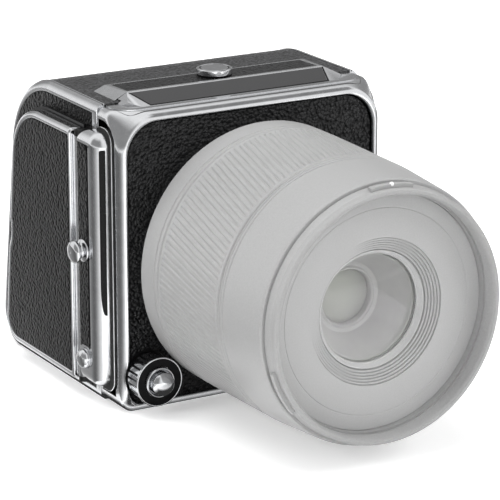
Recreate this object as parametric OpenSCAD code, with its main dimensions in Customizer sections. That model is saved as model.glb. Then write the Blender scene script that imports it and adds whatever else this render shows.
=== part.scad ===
// Medium format digital camera: front body with lens, and a digital back behind it.
// Millimetres. +Z is up, the lens looks along -Y, and the origin is the mouth of the tripod socket.
// Depths are measured rearwards from the leather face on the front.

/* [Front body] */
// Width over the two side faces
body_w = 84.2; // [82:0.1:88]
// Overall height of the digital back
body_h = 86; // [85:0.1:90]
// How far the front body's deck lies below the back's top
deck_drop = 0.8; // [0.6:0.1:1.2]
// Depth of the front body, from its leather face to the split
body_d = 12; // [11.8:0.1:13]
// Height of the lens axis
lens_z = 41.4; // [40.5:0.1:42.5]
// Distance from the leather face back to the tripod axis
tripod_setback = 7; // [6.6:0.1:7.4]
// Frame wall at the sides
side_wall = 3.2; // [3:0.1:3.8]
// Frame wall at the top
top_wall = 2.9; // [2.5:0.1:3.4]
// Frame wall at the base
base_wall = 2.35; // [2:0.05:2.8]
// Radius of the frame's rounded front edge
edge_r = 3; // [2:0.1:3.4]
// How far the frame stands in front of the leather
frame_lip = 0.6; // [0.3:0.1:0.9]
// Upper corner radius of the frame at its front
corner_r = 11.3; // [9:0.1:13]
// Upper corner radius of the frame behind its round front corners
split_r = 2.4; // [2:0.1:3]
// Depth at which the round front corners end
corner_depth = 4.5; // [4:0.1:4.6]
// Lower corner radius of the frame
foot_r = 4; // [3.4:0.1:5]
// Upper corner radius of the front leather
cover_r = 9.5; // [8:0.1:11]
// Lower corner radius of the front leather
cover_foot_r = 3; // [2:0.1:4]
// Thickness of the leather covering
leather_t = 0.8; // [0.6:0.05:1]
// Thickness of the front plate of the chassis
plate_t = 3; // [2.6:0.1:3.4]
// Half size of the light window in the chassis
window_half = 28; // [26:0.1:28.5]
// Corner radius of the light window
window_r = 6; // [4:0.5:8]
// Chrome left round the leather on the front body's sides
side_border = 1; // [0.8:0.1:1.4]
// Radius of that leather's upper front corner
side_cover_r = 5.5; // [4.5:0.1:6]

/* [Tripod socket] */
// Bore radius of the 1/4 inch socket
socket_r = 2.55; // [2.5:0.01:2.7]
// Depth of the socket
socket_depth = 5.5; // [5:0.1:6.5]
// Outer radius of the bush
bush_r = 4.2; // [3.9:0.1:4.3]
// Height of the bush
bush_h = 8; // [7:0.1:8]

/* [Top block] */
// Height of the ridge above the back's top
ridge_rise = 1.8; // [1.4:0.1:2.4]
// Distance from the side faces to the ends of the ridge
ridge_side = 10.6; // [9:0.1:14]
// How much wider the block is at its foot, each side
ridge_flare = 4.6; // [3:0.1:5]
// Depth of the deck plate's front edge
deck_front = 3.4; // [3:0.1:4]
// Radius of the deck plate's front corners
deck_r = 6; // [5:0.1:7]
// Depth at which the slope starts
slope_front = 5.6; // [5:0.1:6.5]
// How far the block overhangs the split
ridge_overhang = 2.2; // [1.6:0.1:2.8]
// Thickness of the deck plate under the block
deck_step = 0.25; // [0.2:0.05:0.4]
// Chrome left round the dark plate
name_margin = 0.6; // [0.4:0.1:1]
// How much shorter the dark plate's lower edge is than the ridge, each side
plate_inset = 3.2; // [2.5:0.1:6]
// Thickness of the dark plate
name_plate_t = 0.4; // [0.3:0.05:0.6]

/* [Side blocks and lugs] */
// How far the left block and the door stand out from the side face
block_out = 5; // [4.8:0.1:5.4]
// How far the right block stands out from the side face
right_out = 3; // [2.6:0.1:3.2]
// Thickness of the gasket under a block
gasket_t = 0.8; // [0.6:0.05:1]
// Depth of the left block's front edge
left_front = 3.6; // [3.4:0.1:3.8]
// Depth of the right block's front edge
right_front = 6.5; // [6:0.1:7]
// Depth of a block's rear edge
side_block_rear = 15; // [14.6:0.1:15.2]
// Height of a block's lower end
block_low = 6.3; // [5.8:0.1:6.8]
// Distance from the back's top down to a block's upper end
block_top_drop = 6.6; // [6.4:0.1:9]
// Corner radius of a block, seen from the side
block_r = 4; // [3:0.1:4.4]
// How far the gasket shows past a block
gasket_edge = 1.2; // [0.8:0.1:1.3]
// Depth of the leather recess in a block
inset_t = 0.5; // [0.4:0.05:0.7]
// Width of the leather strip
strip_w = 5.5; // [5:0.1:6]
// Height of the lower end of the leather strip
strip_low = 17.6; // [17.2:0.1:20]
// Distance of the leather strip from the block's rear edge
strip_margin = 1; // [0.8:0.1:1.3]
// Distance of the leather strip from the block's upper end
strip_top_gap = 3.5; // [3:0.1:4]
// Corner radius of the leather strip
strip_r = 1; // [0.6:0.1:1.4]
// Height of the strap lugs
lug_z = 45.4; // [40:0.1:50]
// Neck radius of a strap lug
lug_neck_r = 2; // [1.7:0.05:2.2]
// Head radius of a strap lug
lug_head_r = 3.25; // [3:0.05:3.3]
// Thickness of a strap lug's head
lug_head_t = 1.3; // [1:0.1:1.6]
// Thickness of a strap lug's foot
lug_foot_t = 0.7; // [0.5:0.1:1]
// Length of a strap lug in front of its block
lug_len = 4.3; // [4:0.1:5]
// Height of the dark window's lower end
window_low = 28; // [24:0.5:34]
// Width of the dark window
window_w = 2.2; // [1.8:0.1:2.4]
// Depth of the dark window's slot
window_depth = 0.9; // [0.7:0.05:1.1]
// How far the dark window lies below the block's surface
window_set = 0.45; // [0.3:0.05:0.6]
// Angle of the dark window on the round edge, from straight out
window_turn = 62; // [56:1:64]
// Height of the side button
side_button_z = 13.9; // [13:0.1:14]
// Radius of the side button
side_button_r = 2.8; // [2.5:0.05:2.9]
// Metal left behind the side button
side_button_floor = 0.4; // [0.3:0.05:0.5]
// Height of the side button's dome
side_dome = 2; // [1.4:0.1:2.4]
// Travel of the side button
side_button_travel = 1; // [0.8:0.05:1.1]

/* [Shutter wheel] */
// Distance of the wheel from the lens axis, across
wheel_x = 34.2; // [34:0.1:34.4]
// Height of the wheel
wheel_z = 10.4; // [10.2:0.1:10.8]
// Outer radius of the wheel
wheel_r = 6.6; // [6.2:0.05:6.8]
// Length of the wheel in front of the leather
wheel_len = 8.3; // [7.5:0.1:9]
// Gap round the wheel in its pocket
wheel_gap = 0.5; // [0.4:0.05:0.6]
// Number of flutes on the wheel
flutes = 24; // [18:1:28]
// Radius of a flute
flute_r = 0.5; // [0.4:0.05:0.6]
// Height of the plain rim at the wheel's front
wheel_rim = 0.8; // [0.6:0.1:1]
// How far that rim stands out past the flutes
wheel_rim_out = 0.5; // [0.3:0.05:0.5]
// Width of the bright edge round the dark ring
wheel_rim_edge = 0.4; // [0.3:0.05:0.6]
// Depth of the dark ring in the wheel's front
face_t = 0.5; // [0.4:0.05:0.6]
// Width of the collar's lip, which keeps the wheel on
collar_lip = 0.8; // [0.6:0.05:0.9]
// Outer radius of the fixed collar
collar_r = 3.6; // [3.5:0.05:3.8]
// Radius of the shutter button
button_r = 3.1; // [2.9:0.05:3.1]
// How far the shutter button stands out of the wheel
button_out = 2.6; // [2:0.1:3]
// Travel of the shutter button
button_travel = 1.2; // [0.8:0.1:1.5]

/* [Lens mount] */
// Outer radius of the mount ring's barrel
mount_r = 33; // [32.6:0.1:33.2]
// Height of the mount ring in front of the leather
mount_h = 2.4; // [2.2:0.1:3]
// Width of the mount ring's flange past its barrel
mount_flange = 1; // [0.8:0.1:1.2]
// Radius of the mount ring's screws
mount_screw_r = 1.25; // [1.1:0.05:1.3]
// Radius of the throat behind the tabs
throat_r = 29.5; // [29.2:0.1:29.7]
// Radius of the throat at the tabs
tab_r = 27.8; // [27.5:0.1:28]
// Thickness of the bayonet tabs
tab_t = 1.6; // [1.4:0.05:1.8]
// How far the tabs lie below the ring's front face
tab_drop = 0.2; // [0.1:0.05:0.4]
// Angle that a bayonet tab covers
tab_angle = 55; // [48:1:56]
// Radius of a sprung contact
contact_r = 0.45; // [0.35:0.05:0.5]
// Width of the contact block
contact_w = 2.6; // [2.2:0.1:2.8]
// Thickness of the contact block
contact_t = 1.4; // [1:0.1:1.8]
// Spacing of the contacts
contact_pitch = 1.7; // [1.4:0.1:1.9]
// Distance of the lens release from the lens axis, across
release_x = 33; // [32.5:0.1:33.5]
// Height of the lens release
release_z = 11; // [10:0.1:11.5]
// Radius of the lens release button
release_r = 3.1; // [2.8:0.05:3.2]
// Travel of the lens release
release_travel = 1.6; // [1.4:0.05:1.8]
// How far the lens release stands out of the leather
release_out = 2.6; // [2:0.1:3]
// Thickness of the lock lever
lever_t = 0.8; // [0.7:0.05:1]
// Gap between the plate and the lock lever
lever_gap = 0.6; // [0.4:0.05:0.8]
// How far the lock pin stands out of the mount ring
pin_out = 1; // [0.8:0.05:1.2]
// Radius of the lock pin
pin_r = 1; // [0.9:0.05:1.1]
// Radius on which the lock pin sits
pin_ring_r = 31.25; // [31.1:0.05:31.4]

/* [Lens] */
// Radius of the lens barrel over the focus ring
lens_r = 38.5; // [37.5:0.1:39]
// Distance from the leather to the rear of the barrel
barrel_rear = 5.4; // [5.2:0.1:6]
// Distance from the leather to the rear of the focus ring
focus_rear = 15.6; // [14:0.1:17]
// Distance from the leather to the front of the focus ring
focus_front = 47; // [45:0.1:49]
// Distance from the leather to the front of the barrel
barrel_front = 67; // [66:0.1:68]
// Length of the front rim past the barrel
rim_l = 4.8; // [4.4:0.1:5.4]
// Radius of the barrel at its front
barrel_front_r = 36.4; // [36:0.1:37]
// Radius of the focus ring at its front
focus_front_r = 37.9; // [37.8:0.05:38.2]
// Number of ribs on the focus ring
ribs = 120; // [60:2:160]
// Depth of the grooves between the ribs
rib_depth = 0.9; // [0.8:0.05:1.1]
// Radius of the sleeve that the focus ring turns on
sleeve_r = 35; // [34.8:0.1:35.4]
// Radial running gap under the focus ring
focus_gap = 0.1; // [0.06:0.01:0.2]
// Bore radius of the filter thread
filter_r = 33.1; // [32.9:0.05:33.2]
// Depth of the filter thread
filter_depth = 4.6; // [4:0.1:5]
// Outer radius of the front rim
rim_r = 34.8; // [34.6:0.1:35.2]
// Outer radius of the groove behind the rim
hood_groove_r = 34.2; // [34:0.05:34.3]
// Width of the groove behind the rim
hood_groove_w = 2.6; // [2:0.1:3]
// Outer radius of the hood tabs
hood_tab_r = 35.9; // [35.4:0.1:36.2]
// Angle that a hood tab covers
hood_tab_angle = 30; // [20:1:36]
// Width of a hood tab
hood_tab_w = 1.5; // [1.2:0.1:1.8]
// Length of the filter ring's seat in the barrel
seat_l = 5; // [4:0.1:6]
// Thickness of the front plate
front_plate_t = 1.2; // [1:0.1:1.5]
// Distance of the front plate behind the rim
front_plate_drop = 6.4; // [6:0.1:7]
// Outer radius of the ring steps on the front plate
steps_r = 20.7; // [19.5:0.1:21.5]
// Inner radius of the ring steps
glass_r = 16.4; // [15.8:0.1:16.8]
// Number of ring steps
steps = 6; // [4:1:8]
// Fall of the ring steps, from the plate to the glass
steps_drop = 2.4; // [1.8:0.1:3]
// Radius of the front glass's curve
glass_curve = 60; // [50:1:80]
// How far the front glass bulges past its edge
glass_bulge = 1.2; // [0.8:0.1:1.6]
// Thickness of the front glass at its edge
glass_edge_t = 6; // [5:0.1:7]
// Radius of the opening in the shutter
shutter_r = 11; // [10:0.1:13]
// Distance from the leather to the rear of the shutter
shutter_z = 26; // [24:0.5:28]
// Thickness of the shutter
shutter_t = 9; // [8:0.1:10]
// Wall of the inner barrel
sleeve_t = 2; // [1.8:0.1:2.4]
// How far the lens reaches behind the leather
lens_reach = 2.4; // [2:0.1:2.6]
// Outer radius of the inner barrel's rear part
core_r = 30; // [29.8:0.1:30.4]
// Bore radius of the inner barrel
core_bore_r = 24; // [23.6:0.1:24.4]

/* [Digital back] */
// Overall depth from the leather face to the rear of the back
back_d = 76.6; // [75:0.1:79]
// Radius of the back's upper rear corner
back_top_r = 26.5; // [25:0.1:28]
// Radius of the back's lower rear corner
back_low_r = 10.4; // [9:0.1:11.5]
// How far the upper rear corner's centre lies ahead of the lower one's
back_lean = 24.1; // [23:0.1:25.5]
// Clear gap between the front body and the back
split_gap = 0.1; // [0.05:0.05:0.2]
// Width of the chrome rims, seen from the side
rim_w = 3; // [2.6:0.1:3.4]
// Width of the chrome rims, seen from above
rim_t = 2.5; // [2.4:0.1:3]
// Radius of the rims' rounded edge
rim_edge_r = 2.4; // [1.8:0.1:2.4]
// How far the leather lies below the rims
wrap_drop = 0.2; // [0.15:0.05:0.3]
// Wall of the back's casting
shell_wall = 2.4; // [2:0.1:2.6]
// Front wall of the back's casting
back_front_wall = 3; // [2.6:0.1:3.4]
// Width of the sensor window
sensor_w = 48; // [46:0.5:50]
// Height of the sensor window
sensor_h = 38; // [36:0.5:40]
// Depth of the sensor's frame
sensor_d = 8; // [7:0.1:9]
// Corner radius of the sensor window
sensor_r = 2; // [1.5:0.1:3]
// Width of the sensor frame's border
sensor_border = 2; // [1.5:0.1:2.5]
// Distance of the sensor's glass behind the split
sensor_set = 2; // [1.5:0.1:3]
// Thickness of the sensor's glass
sensor_glass_t = 1.2; // [1:0.1:1.6]
// Thickness of the circuit board
board_t = 1.6; // [1.2:0.1:2]
// Length of the back's locating pins
locator_len = 4; // [3:0.1:5]
// Radius of the back's locating pins
locator_r = 1.5; // [1.2:0.1:1.8]
// Distance of the locating pins from the frame's side walls
locator_side = 6; // [5:0.1:7]
// How far the left locating pin lies below the lens axis
locator_down = 21; // [20:0.5:24]
// How far the right locating pin lies above the lens axis
locator_up = 25; // [22:0.5:26]

/* [Catch] */
// Depth of the catch bezel's rear edge
catch_rear = 26.2; // [25.4:0.1:27]
// Fall of the bezel's top from front to rear
catch_fall = 0.4; // [0.2:0.05:0.6]
// Depth of the catch button's centre
catch_y = 21; // [20.6:0.1:21.4]
// Radius of the catch button
catch_r = 5.5; // [5.2:0.1:5.6]
// Thickness of the catch button
catch_t = 1.6; // [1.3:0.1:2]
// Chrome left round the bezel's leather
catch_margin = 0.7; // [0.5:0.1:1]
// Thickness of the plate that the catch draws along
slider_t = 1.2; // [1:0.1:1.5]
// Length of that plate
slider_l = 18; // [15:0.5:20]
// Width of that plate
slider_w = 8; // [7:0.5:9]
// Radius of the catch's stem
catch_stem_r = 1.5; // [1.2:0.1:1.6]
// Travel of the catch
catch_travel = 3.5; // [3:0.1:3.6]

/* [Door] */
// Depth of the door's front edge
door_front = 19.3; // [19:0.1:20]
// Depth of the door's hinge
hinge_y = 16.75; // [16.7:0.05:17]
// Radius of the hinge barrel
barrel_r = 1.4; // [1.3:0.05:1.4]
// Thickness of the hinge's ears
ear_t = 1.4; // [1.2:0.1:1.8]
// Thickness of the hinge's leaf
leaf_t = 1; // [0.8:0.1:1.2]
// Radius of the hinge pin
hinge_pin_r = 0.75; // [0.6:0.05:0.8]
// Height of the door's lower edge
door_low = 5.2; // [4.8:0.1:6]
// Distance from the back's top down to the door's upper edge
door_top_drop = 7.8; // [7:0.1:9]
// Radius of the door's upper rear corner
door_top_r = 16.3; // [15:0.1:18]
// Radius of the door's lower rear corner
door_low_r = 7.1; // [6:0.1:8]
// Distance of the door's rear edge from the back's rear
door_rear_gap = 13.4; // [13:0.1:14.5]
// How far the door's upper rear corner centre lies ahead of the lower one's
door_lean = 15.6; // [14:0.1:17]
// Width of the door's chrome border
door_border = 1.9; // [1.6:0.1:2.4]
// Radius of the finger notch in the door's rear edge
notch_r = 9; // [8:0.5:10]
// Depth of the finger notch
notch_d = 1; // [0.6:0.1:1.4]
// How far the dark plate shows past the door
door_base_edge = 0.9; // [0.6:0.1:1.2]
// Distance of the battery from the door's front edge
battery_gap = 5.5; // [4.5:0.1:6.5]
// Height of the battery's lower end
battery_z = 17; // [15:0.5:18]
// Distance of the cards behind the battery
card_gap = 3; // [2.5:0.1:3.5]
// Height of the lower card
card_z = 20; // [18:0.5:21]
// Spacing of the two cards
card_pitch = 26.5; // [26:0.1:28]
// Width of the battery, along the camera's depth
battery_d = 24; // [22:0.1:25]
// Height of the battery
battery_h = 50; // [46:0.5:52]
// Length of the battery, into the camera
battery_l = 38; // [34:0.5:40]
// Thickness of a memory card
card_t = 2.1; // [2:0.1:2.4]
// Width of a memory card
card_w = 24; // [23:0.1:24.5]
// Length of a memory card
card_l = 32; // [30:0.5:33]

/* [Screen and buttons] */
// Distance from the side faces to the tilting screen
screen_side = 7.1; // [6.6:0.1:9]
// Height of the tilting screen
screen_h = 47.3; // [45:0.1:48]
// Thickness of the tilting screen
screen_t = 4.2; // [4:0.1:4.4]
// How far the screen stands out of the rear
screen_out = 1; // [0.8:0.1:1.2]
// Gap between the menu buttons and the screen
menu_gap = 3.2; // [2.8:0.1:3.6]
// Length of the screen's hinge pins
tilt_pin_l = 5; // [4:0.1:6]
// Corner radius of the screen
screen_r = 1.2; // [0.8:0.1:2]
// Clear gap round the screen
screen_gap = 0.4; // [0.35:0.05:0.6]
// Wall of the screen's tray at its sides
tray_wall = 1.1; // [1:0.05:1.2]
// Depth of the tray in the rear
tray_d = 6.2; // [5.9:0.1:6.6]
// How far the tray's edge stands out of the rear
tray_out = 0.3; // [0.2:0.05:0.5]
// Distance of the screen's hinge from its upper edge
tilt_drop = 1.8; // [1.6:0.05:2]
// Radius of the screen's hinge pins
tilt_pin_r = 0.8; // [0.6:0.05:0.9]
// Border round the screen's glass
glass_border = 2.4; // [2:0.1:4]
// Thickness of the screen's glass
glass_t = 0.7; // [0.5:0.05:0.9]
// Width of a menu button
menu_w = 9; // [8:0.1:10]
// Height of a menu button
menu_h = 3.6; // [3.2:0.1:3.8]
// Spacing of the menu buttons
menu_pitch = 15; // [13:0.5:16]
// Height of the menu buttons above the foot of the rear's flat
menu_up = 4; // [3.8:0.1:4.2]
// Travel of a menu button
menu_travel = 0.8; // [0.6:0.05:0.9]

/* [Port cover] */
// Depth of the port cover's front edge
port_front = 30; // [28:0.5:32]
// Width of the port cover
port_w = 19; // [18:0.5:21]
// Height of the port cover's lower edge
port_low = 18; // [15:0.5:20]
// Height of the port cover
port_h = 45; // [43:0.5:48]
// How far the port cover laps over the sockets' block
port_lip = 1; // [0.8:0.1:1.3]
// Depth of the sockets
port_d = 4; // [3.5:0.1:4.4]
// Radius of the round sockets
jack_r = 1.75; // [1.5:0.05:2]
// Width of the flat socket
usb_w = 9; // [8.5:0.1:9.5]
// Thickness of the flat socket
usb_t = 3.2; // [2.8:0.1:3.4]

/* [Clearances] */
// Small chamfer on turned edges
ease = 0.4; // [0.2:0.05:0.5]
// Clearance of pieces that are set into each other
fit = 0.05; // [0.03:0.01:0.08]
// Running clearance of pieces that slide or turn
run = 0.1; // [0.06:0.01:0.12]
// Clear gap between pieces that move past each other
clear = 0.3; // [0.2:0.05:0.3]

/* [Hidden] */
$fn = 64;
hull_fn = 32;
arc_steps = 16;
slice = 0.02;
over = 1;
deck_h = body_h - deck_drop;
slope_foot = deck_h + deck_step;
ridge_h = body_h + ridge_rise;
side_x = body_w / 2;
ridge_half = side_x - ridge_side;
plate_half = ridge_half - plate_inset;
screen_w = body_w - 2 * screen_side;
split = body_d + split_gap;
wrap_in = wrap_drop + leather_t;
shell_in = wrap_in + shell_wall;
rim_x = side_x - rim_t;
back_low_c = [back_d - back_low_r, back_low_r];
back_top_c = [back_low_c[0] - back_lean, body_h - back_top_r];
back_run = back_low_c - back_top_c;
rear_lean = atan2(back_run[1], back_run[0]) + acos((back_top_r - back_low_r) / norm(back_run));
rear_n = [cos(rear_lean), sin(rear_lean)];
door_h = body_h - door_top_drop;
door_low_c = [back_d - door_rear_gap - door_low_r, door_low + door_low_r];
door_top_c = [door_low_c[0] - door_lean, door_h - door_top_r];
door_run = door_low_c - door_top_c;
door_lean_angle = atan2(door_run[1], door_run[0]) + acos((door_top_r - door_low_r) / norm(door_run));
door_n = [cos(door_lean_angle), sin(door_lean_angle)];
notch_mid = (door_top_c + door_top_r * door_n + door_low_c + door_low_r * door_n) / 2;
block_high = body_h - block_top_drop;
strip_mid = side_block_rear - strip_margin - strip_w / 2;
strip_high = block_high - strip_top_gap;
hinge_x = side_x + block_out / 2 + gasket_t / 2;
door_in = gasket_t + clear / 2;
battery_y = door_front + battery_gap;
card_y = battery_y + battery_d + card_gap;
card_lows = [card_z, card_z + card_pitch];
tilt_y = menu_up + menu_h / 2 + menu_gap + screen_h - tilt_drop;
screen_low = tilt_y + tilt_drop - screen_h;
tilt_n = screen_out - screen_t / 2;
tilt_sweep = norm([tilt_drop, screen_t / 2]) + clear;
tray_half = screen_w / 2 + screen_gap + tray_wall;
tray_low = menu_up - menu_h / 2 - tray_wall;
tray_high = tilt_y + tilt_sweep + tray_wall;
menu_xs = [-1.5 * menu_pitch, -0.5 * menu_pitch, 0.5 * menu_pitch, 1.5 * menu_pitch];
bezel_top = ridge_h;
bezel_low = body_h - wrap_drop;
bezel_front = body_d + ridge_overhang + clear;
pin_angle = -45;
lock_groove = 140;
lens_seat = mount_h + fit;
rim_front = barrel_front + rim_l;
front_plate_z = rim_front - front_plate_drop;
glass_edge_z = front_plate_z - steps_drop;
locator_x = side_x - side_wall - locator_side;
locators = [[-locator_x, lens_z - locator_down], [locator_x, lens_z + locator_up]];
plate_rear = leather_t + plate_t;
slope_rear = body_d + ridge_overhang;
left_thick = block_out - gasket_t;
sides = [[1, right_out, right_front], [-1, block_out, left_front]];
lock_pin = [pin_ring_r * cos(pin_angle), lens_z + pin_ring_r * sin(pin_angle)];
release = [release_x, release_z];
edge_angles = [0, 30, 60, 90];
bayonet_angles = [0, 120, 240];
barrel_seat = barrel_front - seat_l;
front_plate_r = filter_r - 1.5 * ease;
hood_angles = [-22, 98, 218];
rib_form = [[0, 0], [0.5, 0], [0.62, rib_depth], [0.88, rib_depth]];
inner_glasses = [[40, 5, 14], [17, 5, 14], [3, 6, 19]];
cell_edge = 0.5;
spigot_r = tab_r - 2 * run;

// Places a flat outline in the camera's front view, between two depths behind the leather face.
module plate(depth0, depth1) {
  translate([0, depth1 - tripod_setback, 0])
    rotate([90, 0, 0])
      linear_extrude(depth1 - depth0)
        children();
}

// Places a flat outline in the camera's side view (depth, height), between two places across.
module across(x0, x1) {
  translate([x0, -tripod_setback, 0])
    rotate([90, 0, 90])
      linear_extrude(x1 - x0)
        children();
}

// Turns a profile (radius, distance ahead of the leather) about the lens axis.
module about_lens() {
  translate([0, -tripod_setback, lens_z])
    rotate([90, 0, 0])
      rotate_extrude()
        children();
}

// The same, through part of a turn that starts at an angle from +X.
module about_lens_part(start, sweep) {
  translate([0, -tripod_setback, lens_z])
    rotate([90, 0, 0])
      rotate([0, 0, start])
        rotate_extrude(angle = sweep)
          children();
}

// A bar along the lens direction, between two distances ahead of the leather.
module forward_bar(x, z, r, ahead0, ahead1) {
  translate([x, -tripod_setback - ahead0, z])
    rotate([90, 0, 0])
      cylinder(r = r, h = ahead1 - ahead0);
}

// Stands a shape on the slanted rear: x across, y up the face, z out of it.
module on_rear() {
  low = back_low_c + back_low_r * rear_n;
  translate([0, low[0] - tripod_setback, low[1]])
    rotate([90 - rear_lean, 0, 180])
      children();
}

// A piece on the right side, and its mirror image on the left.
module both_sides() {
  children();
  mirror([1, 0, 0])
    children();
}

// Outline with round corners, between two corners.
module soft_rect(low, high, r) {
  translate([low[0] + r, low[1]])
    square([high[0] - low[0] - 2 * r, high[1] - low[1]]);
  translate([low[0], low[1] + r])
    square([high[0] - low[0], high[1] - low[1] - 2 * r]);
  for (x = [low[0] + r, high[0] - r], y = [low[1] + r, high[1] - r])
    translate([x, y])
      circle(r);
}

// Outline with one radius at the upper corners and another at the lower ones.
module arch_rect(half, low, high, upper_r, lower_r) {
  polygon([[-half + lower_r, low], [half - lower_r, low], [half, low + lower_r], [half, high - upper_r],
    [half - upper_r, high], [-half + upper_r, high], [-half, high - upper_r], [-half, low + lower_r]]);
  for (s = [-1, 1]) {
    translate([s * (half - upper_r), high - upper_r])
      circle(upper_r);
    translate([s * (half - lower_r), low + lower_r])
      circle(lower_r);
  }
}

// Slot between two places along x, with round ends.
module slot(x0, x1, r) {
  translate([x0, -r])
    square([x1 - x0, 2 * r]);
  for (x = [x0, x1])
    translate([x, 0])
      circle(r);
}

module frame_outline(inset, upper_r) {
  arch_rect(side_x - inset, inset, deck_h - inset, max(upper_r - inset, ease), max(foot_r - inset, ease),
    $fn = hull_fn);
}

module cavity_outline(inset) {
  arch_rect(side_x - side_wall - inset, base_wall + inset, deck_h - top_wall - inset, cover_r,
    cover_foot_r);
}

// Points along an arc, from one angle to another.
function arc(c, r, a0, a1) = [for (i = [0:arc_steps])
  let (a = a0 + (a1 - a0) * i / arc_steps) c + r * [cos(a), sin(a)]];

// Side profile of the digital back: flat top, large upper rear corner, leaning rear, small lower corner.
module back_profile(inset, front) {
  polygon(concat([[front, inset], [front, body_h - inset]],
    arc(back_top_c, back_top_r - inset, 90, rear_lean),
    arc(back_low_c, back_low_r - inset, rear_lean, -90)));
}

// Outline of the side door.
module door_profile(inset) {
  polygon(concat([[door_front + inset, door_low + inset], [door_front + inset, door_h - inset]],
    arc(door_top_c, door_top_r - inset, 90, door_lean_angle),
    arc(door_low_c, door_low_r - inset, door_lean_angle, -90)));
}

// Cast chrome frame round the front, its front edge rounded, its corners tighter at the split.
module front_frame() {
  color("silver")
    difference() {
      hull() {
        for (a = edge_angles) {
          start = edge_r * (1 - cos(a)) - frame_lip;
          plate(start, start + slice)
            frame_outline(edge_r * (1 - sin(a)), corner_r);
        }
        plate(corner_depth, body_d)
          frame_outline(0, split_r);
      }
      plate(-frame_lip - over, body_d + over)
        cavity_outline(0);
      translate([0, 0, -over])
        cylinder(r = bush_r + fit, h = base_wall + 2 * over);
      forward_bar(-wheel_x, wheel_z, wheel_r + wheel_gap, -leather_t, frame_lip + over);
      forward_bar(-wheel_x, wheel_z, collar_r, -plate_rear, 0);
      both_sides()
        side_leather_solid(leather_t, over);
    }
}

// Leather on the side of the front body; it sinks in by its thickness and may run outwards.
module side_leather_solid(depth, out) {
  front = edge_r - frame_lip + ease;
  rear = body_d - side_border;
  high = deck_h - split_r - ease;
  corner = [front + side_cover_r, high - side_cover_r];
  across(side_x - depth, side_x + out)
    polygon(concat([[front, foot_r], [rear, foot_r], [rear, high]], arc(corner, side_cover_r, 90, 180)));
}

module body_side_leathers() {
  color("dimgray")
    both_sides()
      side_leather_solid(leather_t, 0);
}

// Front covering, cut away for the mount, the wheel and the lens release.
module front_leather() {
  color("#202020")
    plate(0, leather_t)
      difference() {
        cavity_outline(fit);
        translate([0, lens_z])
          circle(mount_r + fit);
        translate([-wheel_x, wheel_z])
          circle(wheel_r + wheel_gap);
        translate([release_x, release_z])
          circle(release_r + run);
      }
}

// Outline of the lever between the lens release and the lock pin.
module lever_outline(r) {
  run_to = release - lock_pin;
  translate(lock_pin)
    rotate(atan2(run_to[1], run_to[0]))
      slot(0, norm(run_to), r);
}

// Casting behind the leather: front plate and light box in one.
module chassis() {
  lever_room = plate_rear + lever_gap + lever_t + release_travel + clear;
  color("#303030")
    difference() {
      plate(leather_t, body_d - run)
        cavity_outline(fit);
      plate(0, plate_rear)
        translate([0, lens_z])
          circle(mount_r + fit);
      plate(plate_rear - over, body_d)
        soft_rect([-window_half, lens_z - window_half], [window_half, lens_z + window_half], window_r);
      cylinder(r = bush_r + fit, h = bush_h + fit);
      forward_bar(-wheel_x, wheel_z, collar_r, -plate_rear, 0);
      forward_bar(release_x, release_z, release_r + run, -lever_room, 0);
      plate(plate_rear, lever_room)
        lever_outline(release_r + run);
      for (p = locators)
        forward_bar(p[0], p[1], locator_r + run, -body_d, -body_d + locator_len + clear);
    }
}

// Steel bush with the tripod socket in its foot.
module tripod_bush() {
  color("gray")
    difference() {
      cylinder(r = bush_r, h = bush_h);
      translate([0, 0, -over])
        cylinder(r = socket_r, h = socket_depth + over);
    }
}

// Height of the slope at a depth.
function slope_z(y) = slope_foot + (ridge_h - slope_foot) * (y - slope_front) / (slope_rear - slope_front);

// The slope above the dark plate, or its recess.
module name_recess(depth) {
  rear = slope_rear - name_margin;
  front = slope_front + name_margin;
  intersection() {
    across(-side_x, side_x)
      polygon([[front, slope_z(front) - depth], [rear, slope_z(rear) - depth], [rear, slope_z(rear) + over],
        [front, slope_z(front) + over]]);
    translate([0, -tripod_setback, 0])
      linear_extrude(ridge_h + 2 * over)
        polygon([[-plate_half, front], [plate_half, front], [ridge_half - name_margin, rear],
          [name_margin - ridge_half, rear]]);
  }
}

// Outline of the deck plate, from above: round front corners, straight rear edge.
module deck_outline() {
  half = side_x - split_r - clear;
  polygon(concat([[half, body_d - run]], [[-half, body_d - run]],
    arc([deck_r - half, deck_front + deck_r], deck_r, 180, 270),
    arc([half - deck_r, deck_front + deck_r], deck_r, 270, 360)));
}

// Chrome deck plate with a block that slopes up to a ridge and has facets at its ends.
module name_block() {
  low = body_h + clear / 2;
  foot = ridge_half + ridge_flare;
  color("silver")
    difference() {
      union() {
        translate([0, -tripod_setback, deck_h])
          linear_extrude(deck_step)
            deck_outline();
        intersection() {
          across(-side_x, side_x)
            polygon([[slope_front, deck_h + deck_step / 2], [body_d, deck_h + deck_step / 2], [body_d, low],
              [slope_rear, low], [slope_rear, ridge_h], [slope_front, slope_foot]]);
          plate(0, slope_rear + over)
            polygon([[-foot, 0], [foot, 0], [foot, deck_h], [ridge_half, ridge_h], [-ridge_half, ridge_h],
              [-foot, deck_h]]);
          translate([0, -tripod_setback, 0])
            linear_extrude(ridge_h)
              polygon([[ridge_half, slope_front], [foot, slope_front + ridge_flare], [foot, slope_rear],
                [-foot, slope_rear], [-foot, slope_front + ridge_flare], [-ridge_half, slope_front]]);
        }
      }
      name_recess(name_plate_t);
    }
}

// Bare dark plate let into the slope.
module name_plate() {
  color("#181818")
    difference() {
      name_recess(name_plate_t);
      across(-side_x, side_x)
        polygon([[0, slope_z(0)], [slope_rear, ridge_h], [slope_rear, ridge_h + 4 * over],
          [0, ridge_h + 4 * over]]);
    }
}

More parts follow.
